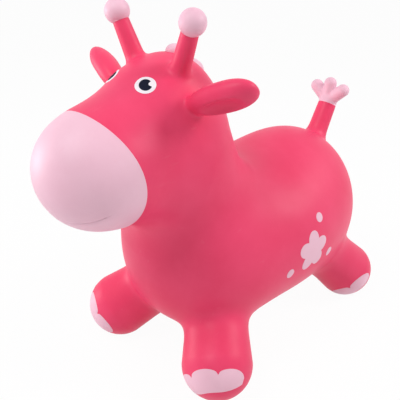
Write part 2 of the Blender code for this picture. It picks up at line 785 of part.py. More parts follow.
def add_tail():
    add_panel("tail_root", layers(lambda level: limb_root_rings(TAIL, TAIL_SIDES, 3, level)), "raspberry")
    tail_panel = layers(lambda level: tube_rings(TAIL, TAIL.root_length, TUFT_START, TAIL_SIDES, 2, level))
    tail = add_panel("tail", tail_panel, "raspberry", origin=TAIL.root)
    carry(tail, add_panel("tail_tuft", layers(tuft_rings), "blush", origin=TAIL.root))
    cut_sleeve(bpy.data.objects["trunk"], TAIL, "tail", TAIL_SIDES, 1)


# Body panels


def trunk_rings(level):
    """Rings from the rump to the chest, seen from origins spread along the trunk."""
    back = RUMP_Y + RUMP_HALF_LENGTH
    front = CHEST_Y - CHEST_HALF_LENGTH
    spread = (back - front) / 2 - RUMP_HALF_WIDTH
    around = np.tile(np.arange(TRUNK_SIDES) * math.tau / TRUNK_SIDES, TRUNK_RINGS + 2)
    polar = np.repeat(np.linspace(0, math.pi, TRUNK_RINGS + 2), TRUNK_SIDES)
    origins = np.stack([np.zeros(len(polar)), (back + front) / 2 + spread * np.cos(polar),
                        np.full(len(polar), BARREL_Z)], axis=1)
    across, upward = np.cos(around) * np.sin(polar), np.sin(around) * np.sin(polar)
    directions = np.stack([across, np.cos(polar), upward], axis=1)
    plain = march(origins, directions, raised(trunk_form, level))
    towards_neck = march(origins, directions, raised(body_form, level))
    towards_limbs = march(origins, directions, raised(skin_form, level))
    reach = np.maximum(np.minimum(towards_neck, plain + NECK_COLLAR),
                       np.minimum(towards_limbs, plain + LEG_COLLAR))
    rings = np.split(origins + directions * reach[:, None], TRUNK_RINGS + 2)
    return rings[1:-1], rings[0][0], rings[-1][0]


def fan_ring(angle, level):
    """A section of the neck or head by a plane through the throat line."""
    heading = plane_point(math.cos(angle), math.sin(angle))
    inside = plane_point(THROAT_Y, THROAT_Z) + heading * NECK_TOP_RADIUS
    form = raised(body_form, level)
    front, rear = march(inside, np.stack([-heading, heading]), form)
    centre = inside + heading * (rear - front) / 2
    around = np.arange(HEAD_SIDES) * math.tau / HEAD_SIDES
    directions = np.outer(np.cos(around), heading) + np.outer(np.sin(around), point(1.0, 0.0, 0.0))
    plain = march(centre, directions, form)
    reach = march(centre, directions, raised(skin_form, level))
    return centre + directions * np.minimum(reach, plain + HORN_COLLAR)[:, None]


def fan_seam(angle, offset):
    """Distance from a plane through the throat line, moved by the offset."""
    normal = plane_point(-math.sin(angle), math.cos(angle))
    return lambda points: (points - plane_point(THROAT_Y, THROAT_Z)) @ normal - offset


def paint_seam(offset):
    """Distance ahead of the bowed surface that the muzzle's paint line lies on."""
    rise = plane_point(-math.sin(PAINT_LINE_LEAN), math.cos(PAINT_LINE_LEAN))
    back = plane_point(math.cos(PAINT_LINE_LEAN), math.sin(PAINT_LINE_LEAN))
    middle = plane_point(PAINT_LINE_Y, PAINT_LINE_Z) + back * PAINT_LINE_BOW_RADIUS

    def seam(points):
        local = points - middle
        radial = local - np.outer(local @ rise, rise)
        return np.linalg.norm(radial, axis=1) - PAINT_LINE_BOW_RADIUS - offset
    return seam


def neck_rings(level):
    angles = np.linspace(NECK_SEAM_ANGLE, NAPE_SEAM_ANGLE, NECK_RINGS + 1)
    rings = [fan_ring(angle, level) for angle in angles]
    form = raised(skin_form, level)
    rings[0] = settle(rings[0], form, fan_seam(NECK_SEAM_ANGLE, SEAM_GAP))
    rings[-1] = settle(rings[-1], form, fan_seam(NAPE_SEAM_ANGLE, -SEAM_GAP / 2))
    return rings, None, None


def head_rings(level):
    angles = np.linspace(NAPE_SEAM_ANGLE, FACE_ANGLE, FACE_RINGS + 1)
    rings = [fan_ring(angle, level) for angle in angles]
    form = raised(skin_form, level)
    rings[0] = settle(rings[0], form, fan_seam(NAPE_SEAM_ANGLE, SEAM_GAP / 2))
    edge = settle(rings[-1], form, paint_seam(-SEAM_GAP / 2))
    return rings[:-1] + rings_between(rings[-1], edge, MUZZLE_EDGE_RINGS, level) + [edge], None, None


def muzzle_rings(level):
    form = raised(skin_form, level)
    rim = settle(fan_ring(FACE_ANGLE, level), form, paint_seam(SEAM_GAP / 2))
    centre = plane_point(MUZZLE_Y, MUZZLE_Z)
    ahead = plane_point(-math.cos(PAINT_LINE_LEAN), -math.sin(PAINT_LINE_LEAN))
    ends, tip = fan_rings(centre, unit(rim - centre), ahead, MUZZLE_RINGS, level)
    return [rim] + ends, None, tip


def add_body():
    trunk = add_panel("trunk", layers(trunk_rings), "raspberry")
    add_panel("neck", layers(neck_rings), "raspberry")
    add_panel("head", layers(head_rings), "raspberry")
    add_panel("muzzle", layers(muzzle_rings), "blush")
    cut(trunk, neck_cutter())


def neck_cutter():
    """A block whose underside is the plane of the neck's seam."""
    builder = bmesh.new()
    bmesh.ops.create_cube(builder, size=1.0)
    size = NECK_BASE_RADIUS * 3
    bmesh.ops.scale(builder, vec=(size, size, size), verts=builder.verts[:])
    bmesh.ops.translate(builder, vec=(0.0, size / 2, size / 2), verts=builder.verts[:])
    turn = Matrix.Rotation(NECK_SEAM_ANGLE, 3, 'X')
    throat = Vector((0.0, THROAT_Y, THROAT_Z))
    bmesh.ops.rotate(builder, matrix=turn, verts=builder.verts[:])
    bmesh.ops.translate(builder, vec=throat, verts=builder.verts[:])
    return add_object("neck_opening", builder, "raspberry")


# Prints, mane and valve


def outline_rings(centre, right, upward, outline, rows, level):
    """Rings inside an outline on a tangent plane, laid on the skin, round a middle point."""
    form = raised(skin_form, level)
    rings = []
    for row in range(rows, 0, -1):
        share = row / rows
        flat = centre + np.outer(outline[:, 0] * share, right) + np.outer(outline[:, 1] * share, upward)
        rings.append(settle(flat, form))
    return rings, None, settle(centre[None], form)[0]


def tangent_frame(place, lean=0.0):
    """A place on the skin, with level and upward directions along it."""
    centre = settle(place[None], skin_form)[0]
    normal = unit(slope(centre[None], skin_form)[0])
    right = unit(np.cross(point(0.0, 0.0, 1.0), normal))
    upward = np.cross(normal, right)
    leaning = right * math.cos(lean) + upward * math.sin(lean)
    return centre, leaning, np.cross(normal, leaning)


def round_outline(count, half_length, half_height):
    angles = np.arange(count) * math.tau / count
    return np.stack([half_length * np.cos(angles), half_height * np.sin(angles)], axis=1)


def pupil_outline():
    """A disc with a bite out of it where the eye's glint lies."""
    outline = []
    for step in range(PRINT_STEPS):
        angle = math.tau * step / PRINT_STEPS
        radius = PUPIL_RADIUS
        aside = GLINT_OFFSET * math.sin(angle)
        if math.cos(angle) > 0 and abs(aside) < GLINT_RADIUS:
            radius = min(radius, GLINT_OFFSET * math.cos(angle) - math.sqrt(GLINT_RADIUS ** 2 - aside ** 2))
        outline.append((radius * math.cos(angle), radius * math.sin(angle)))
    return np.array(outline)


def flower_outline():
    angles = np.arange(PRINT_STEPS * 2) * math.tau / (PRINT_STEPS * 2)
    petals = np.abs(np.cos(angles * FLOWER_PETALS / 2))
    radii = FLOWER_RADIUS * (FLOWER_WAIST_SHARE + (1 - FLOWER_WAIST_SHARE) * petals)
    return np.stack([-radii * np.sin(angles), radii * np.cos(angles)], axis=1)


def add_eyes():
    centre, right, upward = tangent_frame(point(EYE_X, EYE_Y, EYE_Z), EYE_LEAN)
    white = round_outline(PRINT_STEPS, EYE_HALF_LENGTH, EYE_HALF_HEIGHT)
    pupil = pupil_outline()
    pupil_levels = [level + PRINT_THICKNESS + SEAM_GAP for level in PRINT_LEVELS]
    white_panel = layers(lambda level: outline_rings(centre, right, upward, white, 3, level), PRINT_LEVELS)
    pupil_panel = layers(lambda level: outline_rings(centre, right, upward, pupil, 2, level), pupil_levels)
    for side_name, side in SIDES.items():
        add_panel(side_name + "_eye_white", white_panel, "white", side)
        add_panel(side_name + "_pupil", pupil_panel, "navy", side)


def add_flank_print():
    """A flower with three dots over it, on the left flank."""
    centre, right, upward = tangent_frame(point(BARREL_HALF_WIDTH, FLOWER_Y, FLOWER_Z))
    flower = flower_outline()
    flower_panel = layers(lambda level: outline_rings(centre, right, upward, flower, 2, level), PRINT_LEVELS)
    add_panel("flower_print", flower_panel, "blush")
    dot = round_outline(PRINT_STEPS // 2, DOT_RADIUS, DOT_RADIUS)
    for place, angle in DOT_ANGLES.items():
        away = right * math.cos(angle) + upward * math.sin(angle)
        dot_frame = tangent_frame(centre + away * DOT_DISTANCE)
        dot_panel = layers(lambda level: outline_rings(*dot_frame, dot, 1, level), PRINT_LEVELS)
        add_panel(place + "_dot_print", dot_panel, "blush")


def add_mane():
    """Lobes along the nape, on a strip that follows the skin."""
    throat = plane_point(THROAT_Y, THROAT_Z)
    bottom, top = [], []
    columns = MANE_LOBES * MANE_LOBE_STEPS
    for column in range(columns + 1):
        angle = MANE_CROWN_ANGLE + (MANE_NAPE_ANGLE - MANE_CROWN_ANGLE) * column / columns
        heading = plane_point(math.cos(angle), math.sin(angle))
        across = 2 * (column % MANE_LOBE_STEPS) / MANE_LOBE_STEPS - 1
        crest = MANE_NOTCH_HEIGHT + (MANE_LOBE_HEIGHT - MANE_NOTCH_HEIGHT) * math.sqrt(1 - across ** 2)
        if column in (0, columns):
            crest = PRINT_THICKNESS
        inside = throat + heading * NECK_TOP_RADIUS
        ridge = cast(inside, heading[None], body_form)[0]
        offsets = np.linspace(-1, 1, MANE_ROWS + 1)
        strip = ridge + np.outer(offsets * MANE_HALF_WIDTH, point(1.0, 0.0, 0.0))
        strip = settle(strip, raised(body_form, SEAM_GAP), fan_seam(angle, 0.0))
        height = PRINT_THICKNESS + crest * np.sqrt(1 - offsets ** 2)
        normals = unit(slope(strip, body_form))
        bottom.append(strip)
        top.append(strip + normals * height[:, None])
    add_slab("mane", top, bottom, "blush")


def add_valve():
    """A tube through the belly with a flange inside, and the plug that closes it."""
    down = point(0.0, 0.0, -1.0)
    belly = cast(plane_point(VALVE_Y, BARREL_Z), down[None], skin_form)[0]
    flange = WALL + VALVE_FLANGE_RISE
    seat_profile = ((VALVE_BORE_RADIUS, -VALVE_LIP), (VALVE_TUBE_RADIUS, -VALVE_LIP),
                    (VALVE_TUBE_RADIUS, flange), (VALVE_FLANGE_RADIUS, flange),
                    (VALVE_FLANGE_RADIUS, flange + WALL), (VALVE_TUBE_RADIUS, flange + WALL),
                    (VALVE_TUBE_RADIUS, VALVE_TUBE_LENGTH), (VALVE_BORE_RADIUS, VALVE_TUBE_LENGTH))
    revolve("valve_seat", seat_profile, belly, "white", VALVE_SIDES)
    stem_radius = VALVE_BORE_RADIUS - SEAM_GAP
    face = -VALVE_LIP - SEAM_GAP
    plug_profile = ((0.0, face - PLUG_HEAD_THICKNESS), (PLUG_HEAD_RADIUS, face - PLUG_HEAD_THICKNESS),
                    (PLUG_HEAD_RADIUS, face), (stem_radius, face), (stem_radius, PLUG_STEM_LENGTH),
                    (stem_radius * PLUG_TIP_SHARE, PLUG_STEM_LENGTH + PLUG_TIP_LENGTH),
                    (0.0, PLUG_STEM_LENGTH + PLUG_TIP_LENGTH))
    revolve("valve_plug", plug_profile, belly, "white", VALVE_SIDES)
    builder = bmesh.new()
    bmesh.ops.create_cone(builder, cap_ends=True, segments=VALVE_SIDES, radius1=VALVE_TUBE_RADIUS + SEAM_GAP,
                          radius2=VALVE_TUBE_RADIUS + SEAM_GAP, depth=VALVE_TUBE_LENGTH)
    bmesh.ops.translate(builder, vec=belly, verts=builder.verts[:])
    cut(bpy.data.objects["trunk"], add_object("valve_opening", builder, "raspberry"))


def clear_scene():
    for existing in list(bpy.data.objects):
        bpy.data.objects.remove(existing, do_unlink=True)


def build():
    clear_scene()
    add_body()
    add_legs()
    add_ears()
    add_horns()
    add_tail()
    add_eyes()
    add_flank_print()
    add_mane()
    add_valve()
    for built in bpy.data.objects:
        if built.parent is None:
            built.location.y -= MIDDLE_Y


build()
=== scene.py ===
import math

import bpy
import numpy as np
from mathutils import Matrix, Vector


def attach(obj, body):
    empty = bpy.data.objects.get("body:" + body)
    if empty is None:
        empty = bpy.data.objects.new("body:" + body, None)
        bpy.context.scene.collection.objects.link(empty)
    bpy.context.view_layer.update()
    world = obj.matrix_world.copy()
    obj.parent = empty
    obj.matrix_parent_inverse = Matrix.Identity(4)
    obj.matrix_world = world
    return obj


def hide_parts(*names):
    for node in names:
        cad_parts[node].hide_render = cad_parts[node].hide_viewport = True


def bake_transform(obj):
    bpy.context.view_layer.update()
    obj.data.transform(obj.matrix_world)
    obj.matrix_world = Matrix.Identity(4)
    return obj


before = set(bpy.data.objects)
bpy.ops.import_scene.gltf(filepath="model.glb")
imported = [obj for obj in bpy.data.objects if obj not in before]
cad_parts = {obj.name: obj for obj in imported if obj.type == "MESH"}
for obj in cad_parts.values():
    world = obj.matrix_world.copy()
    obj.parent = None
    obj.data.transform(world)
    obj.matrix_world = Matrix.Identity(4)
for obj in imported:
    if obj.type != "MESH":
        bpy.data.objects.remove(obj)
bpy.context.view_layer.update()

print("frame loaded")

# The skin's form: the same swells and cones as the solids, each as its centre or its ends, then its radii.
# Everything is in metres. lengthShift moves the form's own origin onto the frame's.
lengthShift = 0.05356
leastSlope = 1e-3  # keeps a swell's depth finite at its very middle

trunkShape = {
    "barrel": ((0, 0.019, 0.1735), (0.1385, 0.180, 0.119)),
    "chest": ((0, -0.098, 0.1615), (0.1145, 0.1075, 0.111)),
    "rump": ((0, 0.1195, 0.176), (0.1105, 0.117, 0.130)),
    "blend": 0.086,
}
neckShape = {
    "base": (0, -0.119, 0.237),
    "top": (0, -0.163, 0.357),
    "radii": (0.092, 0.077),
    "blend": 0.080,
}
headShape = {
    "skull": ((0, -0.164, 0.388), (0.068, 0.061, 0.079)),
    "jaw": ((0, -0.173, 0.322), (0, -0.2435, 0.343), 0.082, 0.0745),
    "brow": ((0, -0.2005, 0.3955), (0, -0.2565, 0.3675), 0.0612, 0.053),
    "blend": 0.044,
    "muzzle": ((0, -0.2865, 0.344), (0.074, 0.0703, 0.0717)),
    "muzzleTilt": math.radians(-30),
    "muzzleBlend": 0.036,
}


def unit(vectors):
    return vectors / np.linalg.norm(vectors, axis=-1, keepdims=True)


def foldSides(points):  # lays the right half of space over the left
    return np.abs(points) * [1, 0, 0] + points * [0, 1, 1]


def smoothMin(first, second, width):  # joins two forms, which run into each other over a width
    closeness = np.clip(1 - np.abs(first - second) / width, 0, 1)
    return np.minimum(first, second) - closeness ** 3 * width / 6


def swell(points, centre, radii, turn=None):
    local = points - np.array(centre)
    if turn is not None:
        local = local @ np.array(turn).T
    radii = np.array(radii)
    scaled = np.linalg.norm(local / radii, axis=1)
    steepness = np.maximum(np.linalg.norm(local / radii ** 2, axis=1), leastSlope)
    return scaled * (scaled - 1) / steepness


def cone(points, start, end, startRadius, endRadius):
    start = np.array(start, float)
    span = np.array(end, float) - start
    share = np.clip((points - start) @ span / (span @ span), 0, 1)
    nearest = start + share[:, None] * span
    return np.linalg.norm(points - nearest, axis=1) - (startRadius + (endRadius - startRadius) * share)


def noddingTurn(angle):  # a turn about the X axis
    return [[1, 0, 0], [0, math.cos(angle), -math.sin(angle)], [0, math.sin(angle), math.cos(angle)]]


def trunkForm(points):
    barrel = swell(points, *trunkShape["barrel"])
    chest = swell(points, *trunkShape["chest"])
    rump = swell(points, *trunkShape["rump"])
    return smoothMin(smoothMin(chest, rump, trunkShape["blend"]), barrel, trunkShape["blend"])


def bodyForm(points):  # trunk, neck, head and muzzle, no limbs
    neck = cone(points, neckShape["base"], neckShape["top"], *neckShape["radii"])
    form = smoothMin(trunkForm(points), neck, neckShape["blend"])
    skull = swell(points, *headShape["skull"])
    brow = cone(points, *headShape["brow"])
    jaw = cone(points, *headShape["jaw"])
    for bulge in (skull, brow, jaw):
        form = smoothMin(form, bulge, headShape["blend"])
    muzzleEnd = swell(points, *headShape["muzzle"], noddingTurn(headShape["muzzleTilt"]))
    return smoothMin(form, muzzleEnd, headShape["muzzleBlend"])


# Limbs of the left side. Distances along a limb count from its root: its own skin is a sleeve of seamRadius
# that begins at sleeveFrom, and bendFrom and bendTo mark the stretch between the body's motion and the
# limb's.
frontLeg = {
    "root": (0.059, -0.1215, 0.0955), "tip": (0.1055, -0.169, 0.0476), "radii": (0.0436, 0.0506),
    "blend": 0.033, "seamRadius": 0.054, "sleeveFrom": -0.012, "bendFrom": 0.028, "bendTo": 0.064,
    "net": {"low": (0.0, -0.245, -0.012), "high": (0.168, -0.045, 0.172), "cell": 0.0036},
}
hindLeg = {
    "root": (0.0645, 0.125, 0.1165), "tip": (0.0955, 0.195, 0.0455), "radii": (0.0412, 0.0485),
    "blend": 0.033, "seamRadius": 0.0519, "sleeveFrom": -0.004, "bendFrom": 0.066, "bendTo": 0.102,
    "net": {"low": (0.0, 0.055, -0.012), "high": (0.155, 0.262, 0.185), "cell": 0.0036},
}
horn = {
    "root": (0.0375, -0.181, 0.4515), "tip": (0.0593, -0.187, 0.499), "radii": (0.0128, 0.0107),
    "blend": 0.013, "seamRadius": 0.0168, "sleeveFrom": -0.014, "bendFrom": 0.006, "bendTo": 0.030,
    "net": {"low": (0.008, -0.22, 0.425), "high": (0.09, -0.145, 0.53), "cell": 0.0024},
    "creaseAt": 0.0552, "stemLap": 0.002,
    "ballAt": 0.0672, "ballRadius": 0.0161, "ballRoom": 0.022, "ballCell": 0.002,
}
tail = {
    "root": (0, 0.197, 0.268), "tip": (0, 0.2345, 0.337), "radii": (0.0178, 0.0157),
    "blend": 0.030, "seamRadius": 0.0265, "sleeveFrom": -0.016, "sleeveTo": 0.05,
    "bendFrom": 0.012, "bendTo": 0.044,
    "net": {"low": (-0.052, 0.15, 0.22), "high": (0.052, 0.262, 0.39), "cell": 0.0022},
    "tuftAt": 0.071, "spread": 0.0262, "sideRise": 0.0219, "topRise": 0.030,
    "lobe": 0.0109, "neck": 0.0116, "tuftBlend": 0.004,
}
ear = {
    "root": (0.082, -0.185, 0.4245), "tip": (0.1235, -0.1705, 0.441),
    "halfWidth": 0.0213, "halfThickness": 0.0165, "roll": math.radians(-38),
    "hollowDepth": 0.0085, "hollowRim": 0.0042, "bluntness": 2.4, "flare": 0.13,
    "blend": 0.014, "seamRadius": 0.0245, "sleeveFrom": -0.045, "bendFrom": -0.008, "bendTo": 0.016,
    "net": {"low": (0.045, -0.24, 0.375), "high": (0.155, -0.13, 0.49), "cell": 0.0024},
}


def limbLine(limb):  # a limb's root and its heading
    root = np.array(limb["root"], float)
    return root, unit(np.array(limb["tip"], float) - root)


def taperForm(points, limb):
    return cone(points, limb["root"], limb["tip"], *limb["radii"])


def paddle(points, middle, radii, turn):  # an ear's swell: blunt, and wider towards its free end
    local = (points - middle) @ turn.T
    local[:, 1] /= 1 + ear["flare"] * np.clip(local[:, 2] / radii[2], -1, 1)
    blunt = ear["bluntness"]
    broad = (np.abs(local[:, 1:] / radii[1:]) ** blunt).sum(axis=1) ** (1 / blunt)
    scaled = np.hypot(local[:, 0] / radii[0], broad)
    steepness = np.maximum(np.linalg.norm(local / radii ** 2, axis=1), leastSlope)
    return scaled * (scaled - 1) / steepness


def earForm(points):
    root, heading = limbLine(ear)
    length = np.linalg.norm(np.array(ear["tip"]) - root)
    level = unit(np.cross([0.0, 1.0, 0.0], heading))
    upright = np.cross(heading, level)
    face = level * math.cos(ear["roll"]) + upright * math.sin(ear["roll"])
    width = upright * math.cos(ear["roll"]) - level * math.sin(ear["roll"])
    turn = np.stack([face, width, heading])
    radii = np.array([ear["halfThickness"], ear["halfWidth"], length / 2 + ear["halfWidth"]])
    middle = root + heading * length / 2
    hollowMiddle = middle + face * (ear["halfThickness"] * 2 - ear["hollowDepth"])
    solid = paddle(points, middle, radii, turn)
    hollow = paddle(points, hollowMiddle, radii - np.array([0, 1, 2]) * ear["hollowRim"], turn)
    return -smoothMin(-solid, hollow, ear["hollowRim"])


def tuftForm(points):  # two lobes to the sides and one on top
    root = np.array(tail["tip"], float)
    folded = foldSides(points)
    side = cone(folded, root, root + [tail["spread"], 0, tail["sideRise"]], tail["neck"], tail["lobe"])
    top = cone(folded, root, root + [0, 0, tail["topRise"]], tail["neck"], tail["lobe"])
    return smoothMin(side, top, tail["tuftBlend"])


def tailForm(points):
    return smoothMin(taperForm(points, tail), tuftForm(points), tail["tuftBlend"])


def skinForm(points):  # the whole skin, cut flat at the soles
    folded = foldSides(points)
    form = bodyForm(folded)
    limbForms = (
        (taperForm(folded, frontLeg), frontLeg),
        (taperForm(folded, hindLeg), hindLeg),
        (earForm(folded), ear),
        (taperForm(folded, horn), horn),
        (tailForm(folded), tail),
    )
    for limbForm, limb in limbForms:
        form = smoothMin(form, limbForm, limb["blend"])
    return np.maximum(form, -points[:, 2])


# Meshing: a net of quads is laid round a form and drawn onto it. Depths are sampled in blocks of cells,
# and only near the skin. Relaxing evens out the quads, and settling brings points back onto the form.
netting = {"probe": 0.0002, "leastGrade": 0.25, "block": 6, "reach": 1.4, "batch": 200000,
           "relaxing": 3, "ownShare": 0.4, "settling": 3, "seamSettling": 2}


def slopeOf(points, form):
    probe = netting["probe"]
    columns = []
    for step in np.eye(3) * probe:
        columns.append((form(points + step) - form(points - step)) / (2 * probe))
    return np.stack(columns, axis=1)


def settle(points, form, rounds=netting["settling"]):
    for _ in range(rounds):
        grade = slopeOf(points, form)
        steepness = np.maximum((grade ** 2).sum(axis=1), netting["leastGrade"])
        points = points - grade * (form(points) / steepness)[:, None]
    return points


def sampleDepths(form, low, high, cell):
    block = netting["block"]
    blocks = np.ceil((high - low) / (cell * block)).astype(int)
    middles = low + (np.indices(blocks).reshape(3, -1).T * block + (block - 1) / 2) * cell
    depth = form(middles)

    def spread(values):  # gives each block's value to all its cells
        return values.reshape(blocks).repeat(block, 0).repeat(block, 1).repeat(block, 2)

    field = spread(np.where(depth < 0, -1.0, 1.0))
    wanted = np.argwhere(spread(np.abs(depth) < cell * block * netting["reach"]))
    for start in range(0, len(wanted), netting["batch"]):
        some = wanted[start:start + netting["batch"]]
        field[tuple(some.T)] = form(low + some * cell)
    return field


def relaxNet(points, faces, form):
    ends = np.concatenate([faces, np.roll(faces, -1, axis=1)]).ravel()
    others = np.concatenate([np.roll(faces, -1, axis=1), faces]).ravel()
    tally = np.bincount(ends)
    own = netting["ownShare"]
    for _ in range(netting["relaxing"]):
        mean = np.stack([np.bincount(ends, points[others, i]) / tally for i in range(3)], axis=1)
        points = settle(points * own + mean * (1 - own), form, 1)
    return settle(points, form)


def layNet(form, low, high, cell):  # a point in each cell that the skin passes, a quad for each edge it cuts
    low = np.array(low, float)
    field = sampleDepths(form, low, np.array(high, float), cell)
    cells, places, quads = [], [], []
    for axis in range(3):
        second, third = (axis + 1) % 3, (axis + 2) % 3
        ahead = np.moveaxis(field, axis, 0)
        crossing = np.moveaxis((ahead[:-1] < 0) != (ahead[1:] < 0), 0, axis)
        index = np.argwhere(crossing)
        index = index[(index[:, second] > 0) & (index[:, third] > 0)]
        following = index.copy()
        following[:, axis] += 1
        first, last = field[tuple(index.T)], field[tuple(following.T)]
        place = low + index * cell
        place[:, axis] += cell * first / (first - last)
        corners = []
        for back, aside in ((1, 1), (0, 1), (0, 0), (1, 0)):
            corner = index.copy()
            corner[:, second] -= back
            corner[:, third] -= aside
            corners.append(np.ravel_multi_index(tuple(corner.T), field.shape))
            cells.append(corners[-1])
            places.append(place)
        corners = np.stack(corners, axis=1)
        corners[first > 0] = corners[first > 0][:, ::-1]
        quads.append(corners)
    known, number = np.unique(np.concatenate(cells), return_inverse=True)
    places = np.concatenate(places)
    tally = np.bincount(number)
    points = np.stack([np.bincount(number, places[:, i]) / tally for i in range(3)], axis=1)
    faces = np.searchsorted(known, np.concatenate(quads))
    return relaxNet(points, faces, form), faces.tolist()


# A cut runs a seam through a mesh: what has values above 0 goes, and new points lie where the value is 0
def cutAway(points, faces, values):
    kept = (values <= 0).tolist()
    made, extra, pieces = {}, [], []
    for face in faces:
        count = sum(kept[index] for index in face)
        if count == len(face):
            pieces.append(face)
        if count in (0, len(face)):
            continue
        ring = []
        for here, there in zip(face, face[1:] + face[:1]):
            if kept[here]:
                ring.append(here)
            if kept[here] != kept[there]:
                key = (min(here, there), max(here, there))
                if key not in made:
                    share = values[key[0]] / (values[key[0]] - values[key[1]])
                    made[key] = len(points) + len(extra)
                    extra.append(points[key[0]] * (1 - share) + points[key[1]] * share)
                ring.append(made[key])
        pieces.append(ring)
    if extra:
        points = np.concatenate([points, np.array(extra)])
    return points, pieces


def meshObject(name, points, faces, normals):
    mesh = bpy.data.meshes.new(name)
    mesh.from_pydata((points + [0, lengthShift, 0]).tolist(), [], faces)
    mesh.validate()
    mesh.shade_smooth()
    mesh.normals_split_custom_set_from_vertices(normals.tolist())
    built = bpy.data.objects.new(name, mesh)
    bpy.context.scene.collection.objects.link(built)
    return built


def buildMesh(name, points, faces, form, side=1):  # side -1 mirrors the piece
    points = settle(points, form, netting["seamSettling"])
    normals = unit(slopeOf(points, form))
    used = sorted({index for face in faces for index in face})
    renumber = {old: new for new, old in enumerate(used)}
    faces = [[renumber[index] for index in (face if side > 0 else face[::-1])] for face in faces]
    return meshObject(name, points[used] * [side, 1, 1], faces, normals[used] * [side, 1, 1])


# Materials: the effects that all of them share are groups
def addNode(tree, kind, settings=None, values=None):
    node = tree.nodes.new(kind)
    for name, setting in (settings or {}).items():
        setattr(node, name, setting)
    for name, value in (values or {}).items():
        node.inputs[name].default_value = value
    return node


def feed(tree, socket, term):  # a term is a plain number or another node's output
    if isinstance(term, float):
        socket.default_value = term
    else:
        tree.links.new(term, socket)


def calculate(tree, operation, *terms, clamp=False):
    node = addNode(tree, "ShaderNodeMath", {"operation": operation, "use_clamp": clamp})
    for socket, term in zip(node.inputs, terms):
        feed(tree, socket, term)
    return node.outputs[0]


def mapRange(tree, value, limits, curve="LINEAR"):
    node = addNode(tree, "ShaderNodeMapRange", {"interpolation_type": curve})
    feed(tree, node.inputs["Value"], value)
    for name, limit in limits.items():
        feed(tree, node.inputs[name], limit)
    return node.outputs[0]


def noiseAt(tree, vector, size, detail, roughness):  # noise whose lumps are about as large as size
    node = addNode(tree, "ShaderNodeTexNoise", {}, {"Detail": detail, "Roughness": roughness})
    tree.links.new(vector, node.inputs["Vector"])
    tree.links.new(calculate(tree, "DIVIDE", 1.0, size), node.inputs["Scale"])
    return node.outputs["Fac"]


def startGroup(name, inputs, outputs):
    tree = bpy.data.node_groups.new(name, "ShaderNodeTree")
    for socketName, (kind, value) in inputs.items():
        socket = tree.interface.new_socket(name=socketName, in_out="INPUT", socket_type=kind)
        if value is not None:
            socket.default_value = value
    for socketName, kind in outputs.items():
        tree.interface.new_socket(name=socketName, in_out="OUTPUT", socket_type=kind)
    return tree, addNode(tree, "NodeGroupInput").outputs, addNode(tree, "NodeGroupOutput").inputs


grainLook = {"peel": {"detail": 2.0, "roughness": 0.55}, "swirl": {"detail": 3.0, "roughness": 0.5},
             "swirlWeight": 1.6}


def makeMouldGrain():  # the fine orange peel that a mould leaves in soft vinyl
    tree, given, result = startGroup("mouldGrain", {
        "Vector": ("NodeSocketVector", None), "Grain Size": ("NodeSocketFloat", 0.0007),
        "Swirl Size": ("NodeSocketFloat", 0.012)}, {"Height": "NodeSocketFloat"})
    peel = noiseAt(tree, given["Vector"], given["Grain Size"], **grainLook["peel"])
    swirl = noiseAt(tree, given["Vector"], given["Swirl Size"], **grainLook["swirl"])
    height = calculate(tree, "MULTIPLY_ADD", swirl, grainLook["swirlWeight"], peel)
    tree.links.new(height, result["Height"])
    return tree


driftLook = {"cloud": {"detail": 4.0, "roughness": 0.6}, "cloudRange": {"From Min": 0.3, "From Max": 0.7},
             "speck": {"detail": 1.0, "roughness": 0.5}, "speckRange": {"From Min": 0.62, "From Max": 0.78}}


def makePigmentDrift():  # cloudy shifts in the colour, with a fine dusting of darker specks
    tree, given, result = startGroup("pigmentDrift", {
        "Vector": ("NodeSocketVector", None), "Colour": ("NodeSocketColor", None),
        "Deep Colour": ("NodeSocketColor", None), "Cloud Size": ("NodeSocketFloat", 0.09),
        "Speck Size": ("NodeSocketFloat", 0.0016), "Speck Share": ("NodeSocketFloat", 0.3)},
        {"Colour": "NodeSocketColor", "Cloud": "NodeSocketFloat"})
    cloud = noiseAt(tree, given["Vector"], given["Cloud Size"], **driftLook["cloud"])
    speck = noiseAt(tree, given["Vector"], given["Speck Size"], **driftLook["speck"])
    spread = mapRange(tree, cloud, driftLook["cloudRange"])
    rare = mapRange(tree, speck, driftLook["speckRange"])
    dusting = calculate(tree, "MULTIPLY", rare, given["Speck Share"])
    blended = addNode(tree, "ShaderNodeMix", {"data_type": "RGBA"})
    tree.links.new(calculate(tree, "ADD", spread, dusting, clamp=True), blended.inputs["Factor"])
    tree.links.new(given["Colour"], blended.inputs["A"])
    tree.links.new(given["Deep Colour"], blended.inputs["B"])
    tree.links.new(blended.outputs["Result"], result["Colour"])
    tree.links.new(spread, result["Cloud"])
    return tree


rubLook = {"scuff": {"detail": 5.0, "roughness": 0.7}, "scuffRange": {"From Min": 0.42, "From Max": 0.7},
           "scratch": {"detail": 2.0, "roughness": 0.5}, "scratchRange": {"From Min": 0.7, "From Max": 0.76},
           "scratchRun": {"Rotation": (0.4, 0.3, 0.9), "Scale": (1.0, 0.05, 0.6)}}


